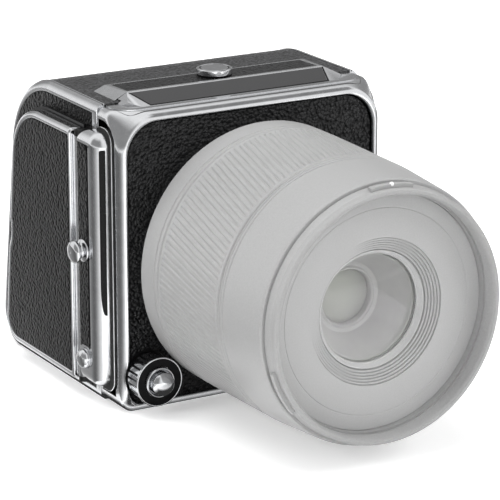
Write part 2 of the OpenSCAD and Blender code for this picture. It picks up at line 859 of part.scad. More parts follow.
// Block on the right side: its front edge is round. The left one is its mirror image, but stands out more.
module block_solid(front, out) {
  thick = out - gasket_t;
  intersection() {
    across(side_x + gasket_t, side_x + out)
      soft_rect([front, block_low], [side_block_rear, block_high], block_r);
    translate([side_x, -tripod_setback, 0])
      linear_extrude(body_h)
        union() {
          translate([gasket_t, front + thick])
            square([thick, side_block_rear - front - thick]);
          translate([gasket_t, front + thick])
            circle(thick);
        }
  }
}

// Turns a piece made for the right side to the side asked for.
module to_side(s) {
  if (s > 0)
    children();
  else
    mirror([1, 0, 0])
      children();
}

module strip_outline(inset) {
  soft_rect([strip_mid - strip_w / 2 + inset, strip_low + inset],
    [strip_mid + strip_w / 2 - inset, strip_high - inset], strip_r - inset);
}

// Slot on the round front edge of the left block, between two radii of that edge.
module window_cut(r0, r1) {
  mirror([1, 0, 0])
    translate([side_x + gasket_t, left_front + left_thick - tripod_setback, window_low])
      rotate([0, 0, -window_turn])
        translate([r0, -window_w / 2, 0])
          cube([r1 - r0, window_w, strip_high - window_low]);
}

module side_blocks() {
  color("silver")
    difference() {
      for (k = sides)
        to_side(k[0])
          block_solid(k[2], k[1]);
      for (k = sides)
        to_side(k[0])
          across(side_x + k[1] - inset_t, side_x + k[1] + over)
            strip_outline(0);
      window_cut(left_thick - window_depth, left_thick + over);
      translate([-side_x - block_out - over, strip_mid - tripod_setback, side_button_z])
        rotate([0, 90, 0])
          cylinder(r = side_button_r + run, h = left_thick - side_button_floor + over);
    }
}

module contact_window() {
  color("#101010")
    window_cut(left_thick - window_depth, left_thick - window_set);
}

module block_leathers() {
  color("dimgray")
    for (k = sides)
      to_side(k[0])
        across(side_x + k[1] - inset_t, side_x + k[1])
          difference() {
            strip_outline(fit);
            translate([strip_mid, lug_z])
              circle(lug_neck_r + ease + fit);
          }
}

module block_gaskets() {
  color("#151515")
    for (k = sides)
      to_side(k[0])
        across(side_x, side_x + gasket_t)
          soft_rect([k[2] - gasket_edge, block_low - gasket_edge], [body_d - run, block_high + gasket_edge],
            block_r);
}

// Spool-shaped lugs for the strap, one on each side.
module strap_lugs() {
  lug_end = inset_t + lug_len;
  color("silver")
    for (k = sides)
      to_side(k[0])
        translate([side_x + k[1] - inset_t, strip_mid - tripod_setback, lug_z])
          rotate([0, 90, 0])
            rotate_extrude()
              polygon([[0, 0], [lug_neck_r + ease, 0], [lug_neck_r + ease, inset_t], [lug_head_r, inset_t],
                [lug_head_r, inset_t + lug_foot_t], [lug_neck_r, inset_t + lug_foot_t + ease],
                [lug_neck_r, lug_end - lug_head_t - ease], [lug_head_r, lug_end - lug_head_t],
                [lug_head_r, lug_end - ease], [lug_head_r - ease, lug_end], [0, lug_end]]);
}

// Domed button near the foot of the left block.
module side_button() {
  inner = gasket_t + side_button_floor + side_button_travel + run;
  dome_r = (side_button_r * side_button_r + side_dome * side_dome) / (2 * side_dome);
  height = block_out - inner + ease;
  color("silver")
    translate([-side_x - inner, strip_mid - tripod_setback, side_button_z])
      rotate([0, -90, 0])
        rotate_extrude()
          intersection() {
            square([side_button_r, height + side_dome]);
            union() {
              square([side_button_r, height]);
              translate([0, height + side_dome - dome_r])
                circle(dome_r);
            }
          }
}

// Bayonet ring: barrel in the chassis, flange on the leather, three tabs in its throat.
module mount_ring() {
  flange_r = mount_r + mount_flange;
  color("gainsboro")
    difference() {
      union() {
        about_lens()
          polygon([[throat_r, -plate_rear], [mount_r, -plate_rear], [mount_r, 0], [flange_r, 0],
            [flange_r, mount_h - ease], [flange_r - ease, mount_h], [throat_r, mount_h]]);
        for (a = bayonet_angles)
          about_lens_part(a - tab_angle / 2, tab_angle)
            translate([tab_r, mount_h - tab_t])
              square([throat_r - tab_r + over, tab_t - tab_drop]);
      }
      forward_bar(lock_pin[0], lock_pin[1], pin_r + run, -plate_rear - over, mount_h + over);
      screw_places()
        cylinder(r = mount_screw_r + fit, h = mount_h + over);
    }
}

// Places for the screws that hold the mount ring.
module screw_places() {
  translate([0, -tripod_setback, lens_z])
    rotate([90, 0, 0])
      for (a = [30, 90, 150, 210, 270, 330])
        rotate([0, 0, a])
          translate([pin_ring_r, 0, 0])
            children();
}

module mount_screws() {
  color("silver")
    screw_places()
      difference() {
        cylinder(r = mount_screw_r, h = mount_h - tab_drop);
        translate([-mount_screw_r / 5, -2 * over, mount_h - tab_drop - ease])
          cube([2 * mount_screw_r / 5, 4 * over, over]);
      }
}

// Block of sprung contacts at the top of the throat.
module mount_contacts() {
  color("goldenrod") {
    for (i = [-4:4])
      forward_bar(contact_pitch * i, lens_z + window_half - contact_w / 2, contact_r, -plate_rear - slice,
        2 * contact_r - plate_rear);
    plate(plate_rear, plate_rear + contact_t)
      translate([-5 * contact_pitch, lens_z + window_half - contact_w])
        square([10 * contact_pitch, contact_w]);
  }
}

// Fixed collar that the wheel turns on and the shutter button runs in.
module shutter_collar() {
  lip_r = collar_r + collar_lip;
  lip_front = wheel_len + collar_lip;
  bore_r = button_r + run / 2;
  color("silver")
    translate([-wheel_x, -tripod_setback, wheel_z])
      rotate([90, 0, 0])
        rotate_extrude()
          polygon([[bore_r, -plate_rear], [collar_r, -plate_rear], [collar_r, wheel_len + run],
            [lip_r, wheel_len + run], [lip_r, lip_front - ease], [lip_r - ease, lip_front],
            [bore_r, lip_front]]);
}

// Fluted wheel round the shutter button.
module shutter_wheel() {
  color("silver")
    translate([-wheel_x, -tripod_setback, wheel_z])
      rotate([90, 0, 0])
        difference() {
          union() {
            translate([0, 0, -leather_t + clear])
              linear_extrude(wheel_len + leather_t - clear - wheel_rim)
                difference() {
                  circle(wheel_r);
                  for (i = [1:flutes])
                    rotate(i * 360 / flutes)
                      translate([wheel_r + flute_r / 2, 0])
                        circle(flute_r);
                }
            translate([0, 0, wheel_len - wheel_rim])
              cylinder(r = wheel_r + wheel_rim_out, h = wheel_rim);
          }
          translate([0, 0, -over])
            cylinder(r = collar_r + run / 2, h = wheel_len + 2 * over);
          translate([0, 0, wheel_len - face_t])
            difference() {
              cylinder(r = wheel_r + wheel_rim_out - wheel_rim_edge, h = over);
              translate([0, 0, -over])
                cylinder(r = collar_r + collar_lip, h = 3 * over);
            }
        }
}

// Dark ring let into the wheel's front.
module wheel_face() {
  color("#181818")
    translate([-wheel_x, -tripod_setback - wheel_len + face_t, wheel_z])
      rotate([90, 0, 0])
        difference() {
          cylinder(r = wheel_r + wheel_rim_out - wheel_rim_edge - fit, h = face_t - fit);
          translate([0, 0, -over])
            cylinder(r = collar_r + collar_lip + fit, h = 3 * over);
        }
}

// Domed shutter button in its collar.
module shutter_button() {
  top = wheel_len + button_out;
  rim = top - button_r / 3;
  dome_r = (button_r * button_r + (top - rim) * (top - rim)) / (2 * (top - rim));
  rear = button_travel + clear - plate_rear;
  color("white")
    translate([-wheel_x, -tripod_setback, wheel_z])
      rotate([90, 0, 0])
        rotate_extrude()
          intersection() {
            translate([0, rear])
              square([button_r, top - rear]);
            union() {
              translate([0, top - dome_r])
                circle(dome_r);
              translate([0, rear])
                square([button_r, rim - rear]);
            }
          }
}

// Lens release on the front, lower right.
module lens_release_button() {
  color("silver")
    translate([release_x, -tripod_setback, release_z])
      rotate([90, 0, 0])
        rotate_extrude()
          polygon([[0, -plate_rear - lever_gap], [release_r, -plate_rear - lever_gap],
            [release_r, release_out - ease], [release_r - ease, release_out], [0, release_out]]);
}

// Lever behind the plate that draws the lock pin back with the button.
module lens_lock_lever() {
  front = plate_rear + lever_gap;
  color("gray") {
    plate(front, front + lever_t)
      lever_outline(release_r - clear);
    forward_bar(lock_pin[0], lock_pin[1], pin_r, -front - lever_t / 2, mount_h + pin_out);
  }
}

// Casting of the digital back, open at the front, the rear and both sides.
module back_shell() {
  color("#2a2a2a") {
    difference() {
      union() {
        across(-rim_x, rim_x)
          back_profile(wrap_in, split);
        across(-side_x + leather_t, side_x - leather_t)
          back_profile(rim_w + fit, split + rim_w + fit);
      }
      across(-rim_x + shell_wall, rim_x - shell_wall)
        back_profile(shell_in, split + back_front_wall);
      plate(split - over, split + back_front_wall + over)
        sensor_outline(0);
      tray_block(fit, over);
      bay_cuts(fit);
      right_port(fit, side_x);
      catch_slot(body_h - shell_in - over);
    }
    for (p = locators)
      forward_bar(p[0], p[1], locator_r, -split - slice, -split + locator_len);
  }
}

module sensor_outline(inset) {
  soft_rect([-sensor_w / 2 + inset, lens_z - sensor_h / 2 + inset], [sensor_w / 2 - inset,
    lens_z + sensor_h / 2 - inset], sensor_r - inset / 2);
}

// Room that the battery and the cards take up through the left wall.
module bay_cuts(gap) {
  translate([-side_x - over, battery_y - tripod_setback - gap, battery_z - gap])
    cube([battery_l + over, battery_d + 2 * gap, battery_h + 2 * gap]);
  for (z = card_lows)
    translate([-side_x - over, card_y - tripod_setback - gap, z - gap])
      cube([card_l + over, card_t + 2 * gap, card_w + 2 * gap]);
}

// Room for the ports in the right wall, out to a given place.
module right_port(gap, out) {
  lip = port_lip - gap;
  translate([rim_x - shell_wall - over, port_front - tripod_setback + lip, port_low + lip])
    cube([out - rim_x + shell_wall + over, port_w - 2 * lip, port_h - 2 * lip]);
}

// Slot in which the catch's stem runs, from a given height upwards.
module catch_slot(low) {
  translate([0, catch_y - tripod_setback, low])
    linear_extrude(ridge_h - low + over)
      slot(0, catch_travel, catch_stem_r + run);
}

module back_wrap() {
  color("#484848")
    difference() {
      across(-rim_x + fit, rim_x - fit)
        back_profile(wrap_drop, split);
      across(-rim_x, rim_x)
        back_profile(wrap_in, split - over);
      tray_block(fit, over);
      catch_slot(body_h - shell_in);
    }
}

// One rounded chrome rim, following the back's profile.
module rim_solid() {
  difference() {
    hull() {
      across(rim_x, rim_x + slice)
        back_profile(0, split);
      for (a = edge_angles)
        across(side_x - rim_edge_r * (1 - cos(a)) - slice, side_x - rim_edge_r * (1 - cos(a)))
          back_profile(rim_edge_r * (1 - sin(a)), split + rim_edge_r * (1 - sin(a)));
    }
    across(rim_x - over, side_x + over)
      back_profile(rim_w, split + rim_w);
  }
}

module back_rims() {
  color("silver")
    both_sides()
      rim_solid();
}

module back_side_leathers() {
  color("#484848") {
    difference() {
      across(side_x - leather_t, side_x)
        back_profile(rim_w + fit, split + rim_w + fit);
      translate([side_x - leather_t - over, port_front - tripod_setback - clear, port_low - clear])
        cube([leather_t + 2 * over, port_w + 2 * clear, port_h + 2 * clear]);
    }
    difference() {
      across(-side_x, leather_t - side_x)
        back_profile(rim_w + fit, split + rim_w + fit);
      bay_cuts(fit);
    }
  }
}

// Chrome bezel behind the ridge, in which the catch slides.
module catch_bezel() {
  foot = ridge_half + ridge_flare - catch_margin;
  color("silver")
    difference() {
      intersection() {
        across(-side_x, side_x)
          polygon([[bezel_front, bezel_low], [bezel_front, bezel_top], [catch_rear, bezel_top - catch_fall],
            [catch_rear + catch_margin, bezel_low]]);
        plate(0, catch_rear + catch_margin + over)
          polygon([[-foot, 0], [foot, 0], [foot, bezel_low], [ridge_half, bezel_top], [-ridge_half, bezel_top],
            [-foot, bezel_low]]);
      }
      catch_inset(over);
      catch_slot(bezel_low - over);
    }
}

// Leather strip on the bezel, or the recess for it.
module catch_inset(out) {
  rear = catch_rear - catch_margin;
  front = bezel_front + catch_margin;
  half = ridge_half - catch_margin;
  drop = catch_fall + inset_t;
  across(-half, half)
    polygon([[front, bezel_top - drop], [rear, bezel_top - drop], [rear, bezel_top - catch_fall + out],
      [front, bezel_top - catch_fall + out]]);
}

module catch_leather() {
  color("#303030")
    difference() {
      catch_inset(0);
      catch_slot(bezel_low);
    }
}

// Round catch on top, with its stem.
module catch_button() {
  low = bezel_top - catch_fall + clear / 2;
  high = low + catch_t;
  color("silver")
    translate([0, catch_y - tripod_setback, 0])
      rotate_extrude()
        polygon([[0, body_h - shell_in - run], [catch_stem_r, body_h - shell_in - run], [catch_stem_r, low],
          [catch_r - ease, low], [catch_r, low + ease], [catch_r, high - ease], [catch_r - ease, high],
          [catch_r - 3 * ease, high], [catch_r - 3.5 * ease, high - ease / 2], [0, high - ease / 2]]);
}

// Plate under the roof that the catch draws along.
module catch_slider() {
  high = body_h - shell_in - run;
  color("gray")
    translate([-slider_l / 2, catch_y - tripod_setback - slider_w / 2, high - slider_t])
      cube([slider_l, slider_w, slider_t]);
}

module sensor_frame() {
  color("#202020")
    plate(split + clear, split + clear + sensor_d)
      difference() {
        sensor_outline(fit);
        sensor_outline(sensor_border);
      }
}

module sensor_glass() {
  color("mediumaquamarine")
    plate(split + sensor_set, split + sensor_set + sensor_glass_t)
      sensor_outline(sensor_border + fit);
}

// Circuit board behind the sensor, carrying the sensor's frame.
module main_board() {
  front = split + clear + sensor_d;
  color("darkgreen")
    plate(front, front + board_t)
      soft_rect([-rim_x + shell_wall + clear, shell_in + clear],
        [rim_x - shell_wall - clear, body_h - shell_in - slider_t - 2 * clear], sensor_r);
}

module battery() {
  color("#404040")
    translate([-side_x + ease, battery_y - tripod_setback, battery_z])
      cube([battery_l - ease - run, battery_d, battery_h]);
}

module memory_cards() {
  color("#252560")
    for (z = card_lows)
      translate([-side_x + ease, card_y - tripod_setback, z])
        cube([card_l - ease - run, card_t, card_w]);
}

// Block of sockets behind the port cover.
module port_block() {
  face = side_x - leather_t - run;
  mid = port_front + port_w / 2 - tripod_setback;
  jack_pitch = port_h / 6;
  color("#202020")
    difference() {
      right_port(0, face);
      translate([face - port_d, mid - usb_t / 2, port_low + 4 * jack_pitch])
        cube([port_d + over, usb_t, usb_w]);
      for (i = [1:3])
        translate([face - port_d, mid, port_low + i * jack_pitch])
          rotate([0, 90, 0])
            cylinder(r = jack_r, h = port_d + over);
    }
}

// Flap over the sockets, flush with the leather, hinged at its front edge.
module port_cover() {
  color("#383838")
    across(side_x - leather_t, side_x)
      soft_rect([port_front, port_low], [port_front + port_w, port_low + port_h], strip_r);
}

// Dark plate behind the door, with the ears that hold its hinge pin.
module door_base() {
  color("#151515")
    difference() {
      union() {
        across(-side_x - gasket_t, -side_x)
          door_profile(-door_base_edge);
        across(-side_x - gasket_t, -side_x)
          translate([hinge_y - barrel_r, door_low])
            square([door_front - hinge_y + barrel_r, door_h - door_low]);
        for (z = [door_low, door_h - ear_t])
          hinge_ear(z);
      }
      bay_cuts(fit);
      hinge_bar(hinge_pin_r, door_low - over, door_h + over);
    }
}

// Ear at one end of the hinge.
module hinge_ear(z) {
  translate([-hinge_x, hinge_y - tripod_setback, z])
    cylinder(r = barrel_r, h = ear_t);
  translate([-hinge_x, hinge_y - tripod_setback - barrel_r, z])
    cube([hinge_x - side_x - slice, 2 * barrel_r, ear_t]);
}

module hinge_bar(r, low, high) {
  translate([-hinge_x, hinge_y - tripod_setback, low])
    cylinder(r = r, h = high - low);
}

// Chrome door with a leather panel let into its face and a finger notch at its rear edge.
module door_frame() {
  color("silver")
    difference() {
      across(-side_x - block_out, -side_x - door_in)
        door_profile(0);
      door_notch(0);
      door_panel(0, over);
    }
}

// Round cut that makes the finger notch, or the panel's edge beside it.
module door_notch(grow) {
  across(-side_x - block_out - 2 * over, -side_x)
    translate(notch_mid + (notch_r - notch_d) * door_n)
      circle(notch_r + grow);
}

// Panel in the door's face; it may run outwards.
module door_panel(inset, out) {
  difference() {
    across(-side_x - block_out - out, -side_x - block_out + inset_t)
      door_profile(door_border + inset);
    door_notch(door_border + inset);
  }
}

module door_leather() {
  color("dimgray")
    door_panel(fit, 0);
}

// Barrel round the hinge pin, with the leaf that carries the door.
module door_barrel() {
  low = door_low + ear_t + clear / 2;
  high = door_h - ear_t - clear / 2;
  color("silver")
    difference() {
      union() {
        hinge_bar(barrel_r, low, high);
        translate([-hinge_x - leaf_t / 2, hinge_y - tripod_setback, low])
          cube([leaf_t, door_front - hinge_y, high - low]);
      }
      hinge_bar(hinge_pin_r + run / 2, low - over, high + over);
    }
}

// Pins of the door's hinge and of the screen's hinge.
module hinge_pins() {
  color("lightgray") {
    hinge_bar(hinge_pin_r, door_low, door_h);
    on_rear()
      for (s = [-1, 1])
        translate([s * (tray_half - tilt_pin_l / 2), tilt_y, tilt_n])
          rotate([0, 90, 0])
            cylinder(r = tilt_pin_r, h = tilt_pin_l, center = true);
  }
}

// Block that the screen's tray fills in the rear.
module tray_block(gap, out) {
  on_rear()
    translate([-tray_half - gap, tray_low - gap, -tray_d - gap])
      cube([2 * tray_half + 2 * gap, tray_high - tray_low + 2 * gap, tray_d + gap + tray_out + out]);
}

// Outline of a menu button, as a pill.
module menu_outline(gap) {
  slot(-(menu_w - menu_h) / 2, (menu_w - menu_h) / 2, menu_h / 2 + gap);
}

// Tray in the rear that holds the tilting screen and the row of buttons.
module screen_tray() {
  color("#202020")
    difference() {
      tray_block(0, 0);
      on_rear() {
        translate([-screen_w / 2 - screen_gap, screen_low - screen_gap, screen_out - screen_t - clear])
          cube([screen_w + 2 * screen_gap, tilt_y - screen_low + screen_gap, screen_t + over + clear]);
        translate([-screen_w / 2 - screen_gap, tilt_y, tilt_n])
          rotate([0, 90, 0])
            cylinder(r = tilt_sweep, h = screen_w + 2 * screen_gap);
        translate([-screen_w / 2 - screen_gap, tilt_y, tilt_n])
          cube([screen_w + 2 * screen_gap, tilt_sweep, screen_t + over]);
        translate([-tray_half - over, tilt_y, tilt_n])
          rotate([0, 90, 0])
            cylinder(r = tilt_pin_r, h = 2 * tray_half + 2 * over);
        for (x = menu_xs)
          translate([x, menu_up, -tray_d - over])
            linear_extrude(tray_d + tray_out + 2 * over)
              menu_outline(run);
      }
    }
}

// Screen housing that tilts up about its top edge.
module screen_frame() {
  color("#181818")
    on_rear()
      difference() {
        translate([0, 0, screen_out - screen_t])
          linear_extrude(screen_t)
            soft_rect([-screen_w / 2, screen_low], [screen_w / 2, screen_low + screen_h], screen_r);
        translate([0, 0, screen_out - glass_t])
          linear_extrude(glass_t + over)
            glass_outline(0);
        for (s = [-1, 1])
          translate([s * (tray_half - tilt_pin_l / 2), tilt_y, tilt_n])
            rotate([0, 90, 0])
              cylinder(r = tilt_pin_r + run / 2, h = tilt_pin_l + 2 * run, center = true);
      }
}

module glass_outline(inset) {
  half = screen_w / 2 - glass_border - inset;
  soft_rect([-half, screen_low + glass_border + inset],
    [half, screen_low + screen_h - glass_border - 2 * tilt_drop - inset], screen_r - inset);
}

module screen_glass() {
  color("#101418")
    on_rear()
      translate([0, 0, screen_out - glass_t])
        linear_extrude(glass_t)
          glass_outline(fit);
}

// One of the four menu buttons under the screen.
module menu_button(i) {
  color("#303030")
    on_rear()
      translate([menu_xs[i], menu_up, -tray_d + menu_travel + run])
        linear_extrude(tray_d - run + tray_out + clear)
          menu_outline(0);
}

// Bayonet of the lens: tube with three lugs, and the flange that seats on the mount ring.
module lens_mount() {
  flange_r = mount_r + mount_flange - ease;
  lug_low = tab_drop - lens_reach;
  color("gainsboro")
    difference() {
      union() {
        about_lens()
          polygon([[core_bore_r, -lens_reach], [spigot_r, -lens_reach], [spigot_r, lens_seat],
            [flange_r, lens_seat], [flange_r, barrel_rear], [core_bore_r, barrel_rear]]);
        for (a = bayonet_angles)
          about_lens_part(a - tab_angle / 2 + ease, tab_angle - 2 * ease)
            translate([spigot_r - over, lug_low])
              square([throat_r - tab_r + over, mount_h - tab_t - run - lug_low]);
      }
      about_lens_part(pin_angle - lock_groove / 2, lock_groove)
        translate([pin_ring_r - pin_r - clear, lens_seat - over])
          square([2 * (pin_r + clear), over + pin_out + clear]);
    }
}

// Smooth ring at the rear of the lens.
module rear_barrel() {
  front = focus_rear - clear;
  color("lightgray")
    about_lens()
      polygon([[core_r + fit, barrel_rear], [lens_r - 2 * ease, barrel_rear], [lens_r, barrel_rear + 2 * ease],
        [lens_r, front - ease], [lens_r - ease, front], [core_r + fit, front]]);
}

// Tube that carries everything in the lens; the focus ring turns on its sleeve.
module inner_barrel() {
  sleeve_rear = focus_rear - clear;
  sleeve_front = focus_front + clear;
  web = sleeve_rear + sleeve_t;
  tube_r = core_bore_r + sleeve_t;
  tube_front = glass_edge_z - 2 * over;
  color("#303030")
    about_lens()
      polygon([[core_bore_r, barrel_rear], [core_r, barrel_rear], [core_r, sleeve_rear],
        [sleeve_r, sleeve_rear], [sleeve_r, sleeve_front], [sleeve_r - sleeve_t, sleeve_front],
        [sleeve_r - sleeve_t, web], [tube_r, web], [tube_r, tube_front], [core_bore_r, tube_front]]);
}

// Ribbed focus ring, tapering slightly to the front.
module focus_ring() {
  pitch = 360 / ribs;
  color("lightgray")
    intersection() {
      translate([0, -tripod_setback - focus_rear, lens_z])
        rotate([90, 0, 0])
          linear_extrude(focus_front - focus_rear)
            difference() {
              polygon([for (i = [0:ribs - 1], k = rib_form)
                (lens_r - k[1]) * [cos(pitch * (i + k[0])), sin(pitch * (i + k[0]))]]);
              circle(sleeve_r + focus_gap);
            }
      about_lens()
        polygon([[0, focus_rear], [lens_r - ease, focus_rear], [lens_r, focus_rear + ease],
          [focus_front_r, focus_front - ease], [focus_front_r - ease, focus_front], [0, focus_front]]);
    }
}

// Smooth barrel ahead of the focus ring.
module front_barrel() {
  rear = focus_front + clear;
  bore_r = sleeve_r - sleeve_t;
  color("lightgray")
    about_lens()
      polygon([[bore_r, rear], [focus_front_r - ease, rear], [focus_front_r, rear + ease],
        [barrel_front_r, barrel_front - ease], [barrel_front_r - ease, barrel_front],
        [hood_groove_r + fit, barrel_front], [hood_groove_r + fit, barrel_seat], [bore_r, barrel_seat]]);
}

// Front rim with the filter thread inside and the hood's bayonet groove and tabs outside.
module filter_ring() {
  groove_front = barrel_front + hood_groove_w;
  thread_rear = rim_front - filter_depth;
  floor = front_plate_z - front_plate_t;
  color("lightgray") {
    about_lens()
      polygon([[core_r + fit, barrel_seat], [hood_groove_r, barrel_seat], [hood_groove_r, groove_front],
        [rim_r, groove_front + ease], [rim_r, rim_front - ease], [rim_r - ease, rim_front],
        [filter_r + ease, rim_front], [filter_r, rim_front - ease], [filter_r, thread_rear],
        [front_plate_r, thread_rear], [front_plate_r, floor], [core_r + fit, floor]]);
    for (a = hood_angles)
      about_lens_part(a - hood_tab_angle / 2, hood_tab_angle)
        translate([hood_groove_r - ease, barrel_front + ease])
          square([hood_tab_r - hood_groove_r + ease, hood_tab_w]);
  }
}

// Front plate inside the rim, stepping down in rings to the glass.
module lens_front_plate() {
  step_r = (steps_r - glass_r) / steps;
  step_z = steps_drop / steps;
  floor = front_plate_z - front_plate_t;
  color("gray")
    about_lens()
      polygon(concat([[front_plate_r - fit, floor], [front_plate_r - fit, front_plate_z]],
        [for (i = [0:steps - 1], k = [0, 1])
          [steps_r - step_r * (i + 0.5 * k), front_plate_z - step_z * (i + k)]],
        [[glass_r, glass_edge_z], [glass_r, glass_edge_z - over], [core_r, glass_edge_z - over],
        [core_r, floor]]));
}

// Front glass, convex to the front.
module front_element() {
  color("#405060")
    about_lens()
      intersection() {
        translate([0, glass_edge_z - glass_edge_t])
          square([glass_r - fit, glass_edge_t + 2 * glass_bulge]);
        translate([0, glass_edge_z + glass_bulge - glass_curve])
          circle(glass_curve);
      }
}

// Inner glasses, each with its place, thickness and radius: one ahead of the shutter, two behind it.
module inner_elements() {
  color("#506070")
    about_lens()
      for (p = inner_glasses)
        translate([0, p[0]])
          square([p[2] - fit, p[1]]);
}

// Rings that hold the glasses in the inner barrel.
module lens_cells() {
  color("#202020")
    about_lens() {
      translate([glass_r, glass_edge_z - glass_edge_t - 2 * over])
        square([core_bore_r - glass_r - fit, glass_edge_t + over]);
      for (p = inner_glasses)
        translate([p[2], p[0] - cell_edge])
          square([core_bore_r - p[2] - fit, p[1] + 2 * cell_edge]);
    }
}

// Sealed leaf shutter, a ring with its opening.
module shutter_unit() {
  color("#404040")
    about_lens()
      translate([shutter_r, shutter_z])
        square([core_bore_r - shutter_r - fit, shutter_t]);
}

front_frame();
front_leather();
chassis();
name_block();
name_plate();
tripod_bush();
body_side_leathers();
side_blocks();
block_leathers();
block_gaskets();
contact_window();
strap_lugs();
mount_ring();
mount_screws();
mount_contacts();
shutter_collar();
shutter_wheel();
wheel_face();
shutter_button();
lens_release_button();
lens_lock_lever();
side_button();
back_shell();
back_wrap();
back_rims();
back_side_leathers();
catch_bezel();
catch_leather();
catch_button();
catch_slider();
sensor_frame();
sensor_glass();
main_board();
battery();
memory_cards();
port_block();
port_cover();
door_base();
door_frame();
door_leather();
door_barrel();
hinge_pins();
screen_tray();
screen_frame();
screen_glass();
menu_button(0);  // menu_button_1
menu_button(1);  // menu_button_2
menu_button(2);  // menu_button_3
menu_button(3);  // menu_button_4
lens_mount();
rear_barrel();
inner_barrel();
focus_ring();
front_barrel();
filter_ring();
lens_front_plate();
front_element();
inner_elements();
lens_cells();
shutter_unit();
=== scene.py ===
import math

import bmesh
import bpy
import numpy as np
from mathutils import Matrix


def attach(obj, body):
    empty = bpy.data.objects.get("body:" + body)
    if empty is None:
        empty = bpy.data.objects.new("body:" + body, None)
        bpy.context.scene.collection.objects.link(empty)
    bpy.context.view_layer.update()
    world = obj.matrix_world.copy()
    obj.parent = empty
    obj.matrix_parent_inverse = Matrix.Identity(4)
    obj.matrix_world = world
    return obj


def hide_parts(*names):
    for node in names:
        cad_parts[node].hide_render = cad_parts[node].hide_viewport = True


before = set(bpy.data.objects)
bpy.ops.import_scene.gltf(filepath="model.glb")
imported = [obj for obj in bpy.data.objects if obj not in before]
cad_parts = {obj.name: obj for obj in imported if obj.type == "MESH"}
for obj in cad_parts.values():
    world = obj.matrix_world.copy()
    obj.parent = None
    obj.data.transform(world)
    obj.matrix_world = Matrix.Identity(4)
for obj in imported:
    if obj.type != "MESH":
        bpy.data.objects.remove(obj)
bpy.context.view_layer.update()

# View: a long lens in front of the camera's left corner, a little above it.
view_data = bpy.data.cameras.new("view")
view_data.sensor_width = 36.0
view_data.lens = 202.41
view_data.clip_start = 0.05
view = bpy.data.objects.new("view", view_data)
view.location = (-0.38038, -0.66166, 0.27180)
view.rotation_euler = (math.radians(90 - 16.938597), 0, math.radians(-30.122152))
bpy.context.scene.collection.objects.link(view)
bpy.context.scene.camera = view
bpy.context.scene.view_settings.view_transform = "Standard"


# Studio: a white table and a white room round it, with soft boxes above and at both sides.
# The table is matt white laminate. It shows white where no shadow falls on it.
def hex_linear(code):
    """An sRGB hex colour as linear RGBA: c / 12.92 below 0.04045, otherwise ((c + 0.055) / 1.055) ^ 2.4."""
    c = np.array([int(code[i:i + 2], 16) for i in (0, 2, 4)]) / 255
    return (*np.where(c < 0.04045, c / 12.92, ((c + 0.055) / 1.055) ** 2.4).tolist(), 1.0)


def add_node(owner, kind, inputs=None, **settings):
    """Adds a node, sets its properties, and gives each named input a value or a link from another socket."""
    node = owner.node_tree.nodes.new(kind)
    for key, value in settings.items():
        setattr(node, key, value)
    for key, value in (inputs or {}).items():
        if isinstance(value, bpy.types.NodeSocket):
            owner.node_tree.links.new(value, node.inputs[key])
        else:
            node.inputs[key].default_value = value
    return node


def new_material(name, **sockets):
    """A material with one Principled shader, whose named sockets are set to plain values."""
    material = bpy.data.materials.new(name)
    material.use_nodes = True
    shader = material.node_tree.nodes["Principled BSDF"]
    for key, value in sockets.items():
        shader.inputs[key.replace("_", " ")].default_value = value
    return material, shader


def seen_by(owner, *rays):
    """1 for the named kinds of ray, 0 for the others: the largest of the light path's own marks."""
    path = add_node(owner, "ShaderNodeLightPath")
    mark = path.outputs[rays[0]]
    for ray in rays[1:]:
        mark = add_node(owner, "ShaderNodeMath", {0: mark, 1: path.outputs[ray]},
                        operation="MAXIMUM").outputs[0]
    return mark


table_mat, table_shader = new_material("white_laminate", Roughness=0.6)
table_mat.node_tree.nodes.remove(table_shader)
table_matt = add_node(table_mat, "ShaderNodeBsdfDiffuse", {"Color": hex_linear("F6F6F6")})
table_glow = add_node(table_mat, "ShaderNodeEmission", {"Strength": 0.38})
table_lift = add_node(table_mat, "ShaderNodeAddShader", {0: table_matt.outputs[0], 1: table_glow.outputs[0]})
table_seen = seen_by(table_mat, "Is Camera Ray", "Is Glossy Ray")
table_pick = add_node(table_mat, "ShaderNodeMixShader",
                      {0: table_seen, 1: table_matt.outputs[0], 2: table_lift.outputs[0]})
table_out = table_mat.node_tree.nodes["Material Output"]
table_mat.node_tree.links.new(table_pick.outputs[0], table_out.inputs["Surface"])
table_half = 4.0
table_mesh = bpy.data.meshes.new("table")
table_mesh.from_pydata([(-table_half, -table_half, 0), (table_half, -table_half, 0),
                        (table_half, table_half, 0), (-table_half, table_half, 0)], [], [(0, 1, 2, 3)])
table_mesh.materials.append(table_mat)
table = bpy.data.objects.new("table", table_mesh)
bpy.context.scene.collection.objects.link(table)

room = bpy.data.worlds.new("white_room")
bpy.context.scene.world = room
room.use_nodes = True
room_clear = seen_by(room, "Is Camera Ray", "Is Glossy Ray", "Is Transmission Ray")
room_fill = 0.42
room_level = add_node(room, "ShaderNodeMapRange", {"Value": room_clear, "To Min": room_fill, "To Max": 1.0})
room_light = room.node_tree.nodes["Background"]
room_light.inputs["Color"].default_value = (1, 1, 1, 1)
room.node_tree.links.new(room_level.outputs[0], room_light.inputs["Strength"])

# Panels: glowing sheets laid and hung round the camera, out of the lens's sight, which only glossy surfaces
# see.
# They are painted reflections in place of a studio's flags: dark cores between bright edges on the chrome,
# and black leather. The two sheets under the camera paint its own shadow on the table into those reflections.
def grid_faces(rows, cols, wrap_rows=True, wrap_cols=True):
    """Corner numbers of a grid's quads; a side that wraps is joined to its start."""
    r, c = np.meshgrid(np.arange(rows - (not wrap_rows)), np.arange(cols - (not wrap_cols)), indexing="ij")
    r2, c2 = (r + 1) % rows, (c + 1) % cols
    return np.stack([r * cols + c, r * cols + c2, r2 * cols + c2, r2 * cols + c], -1).reshape(-1, 4)


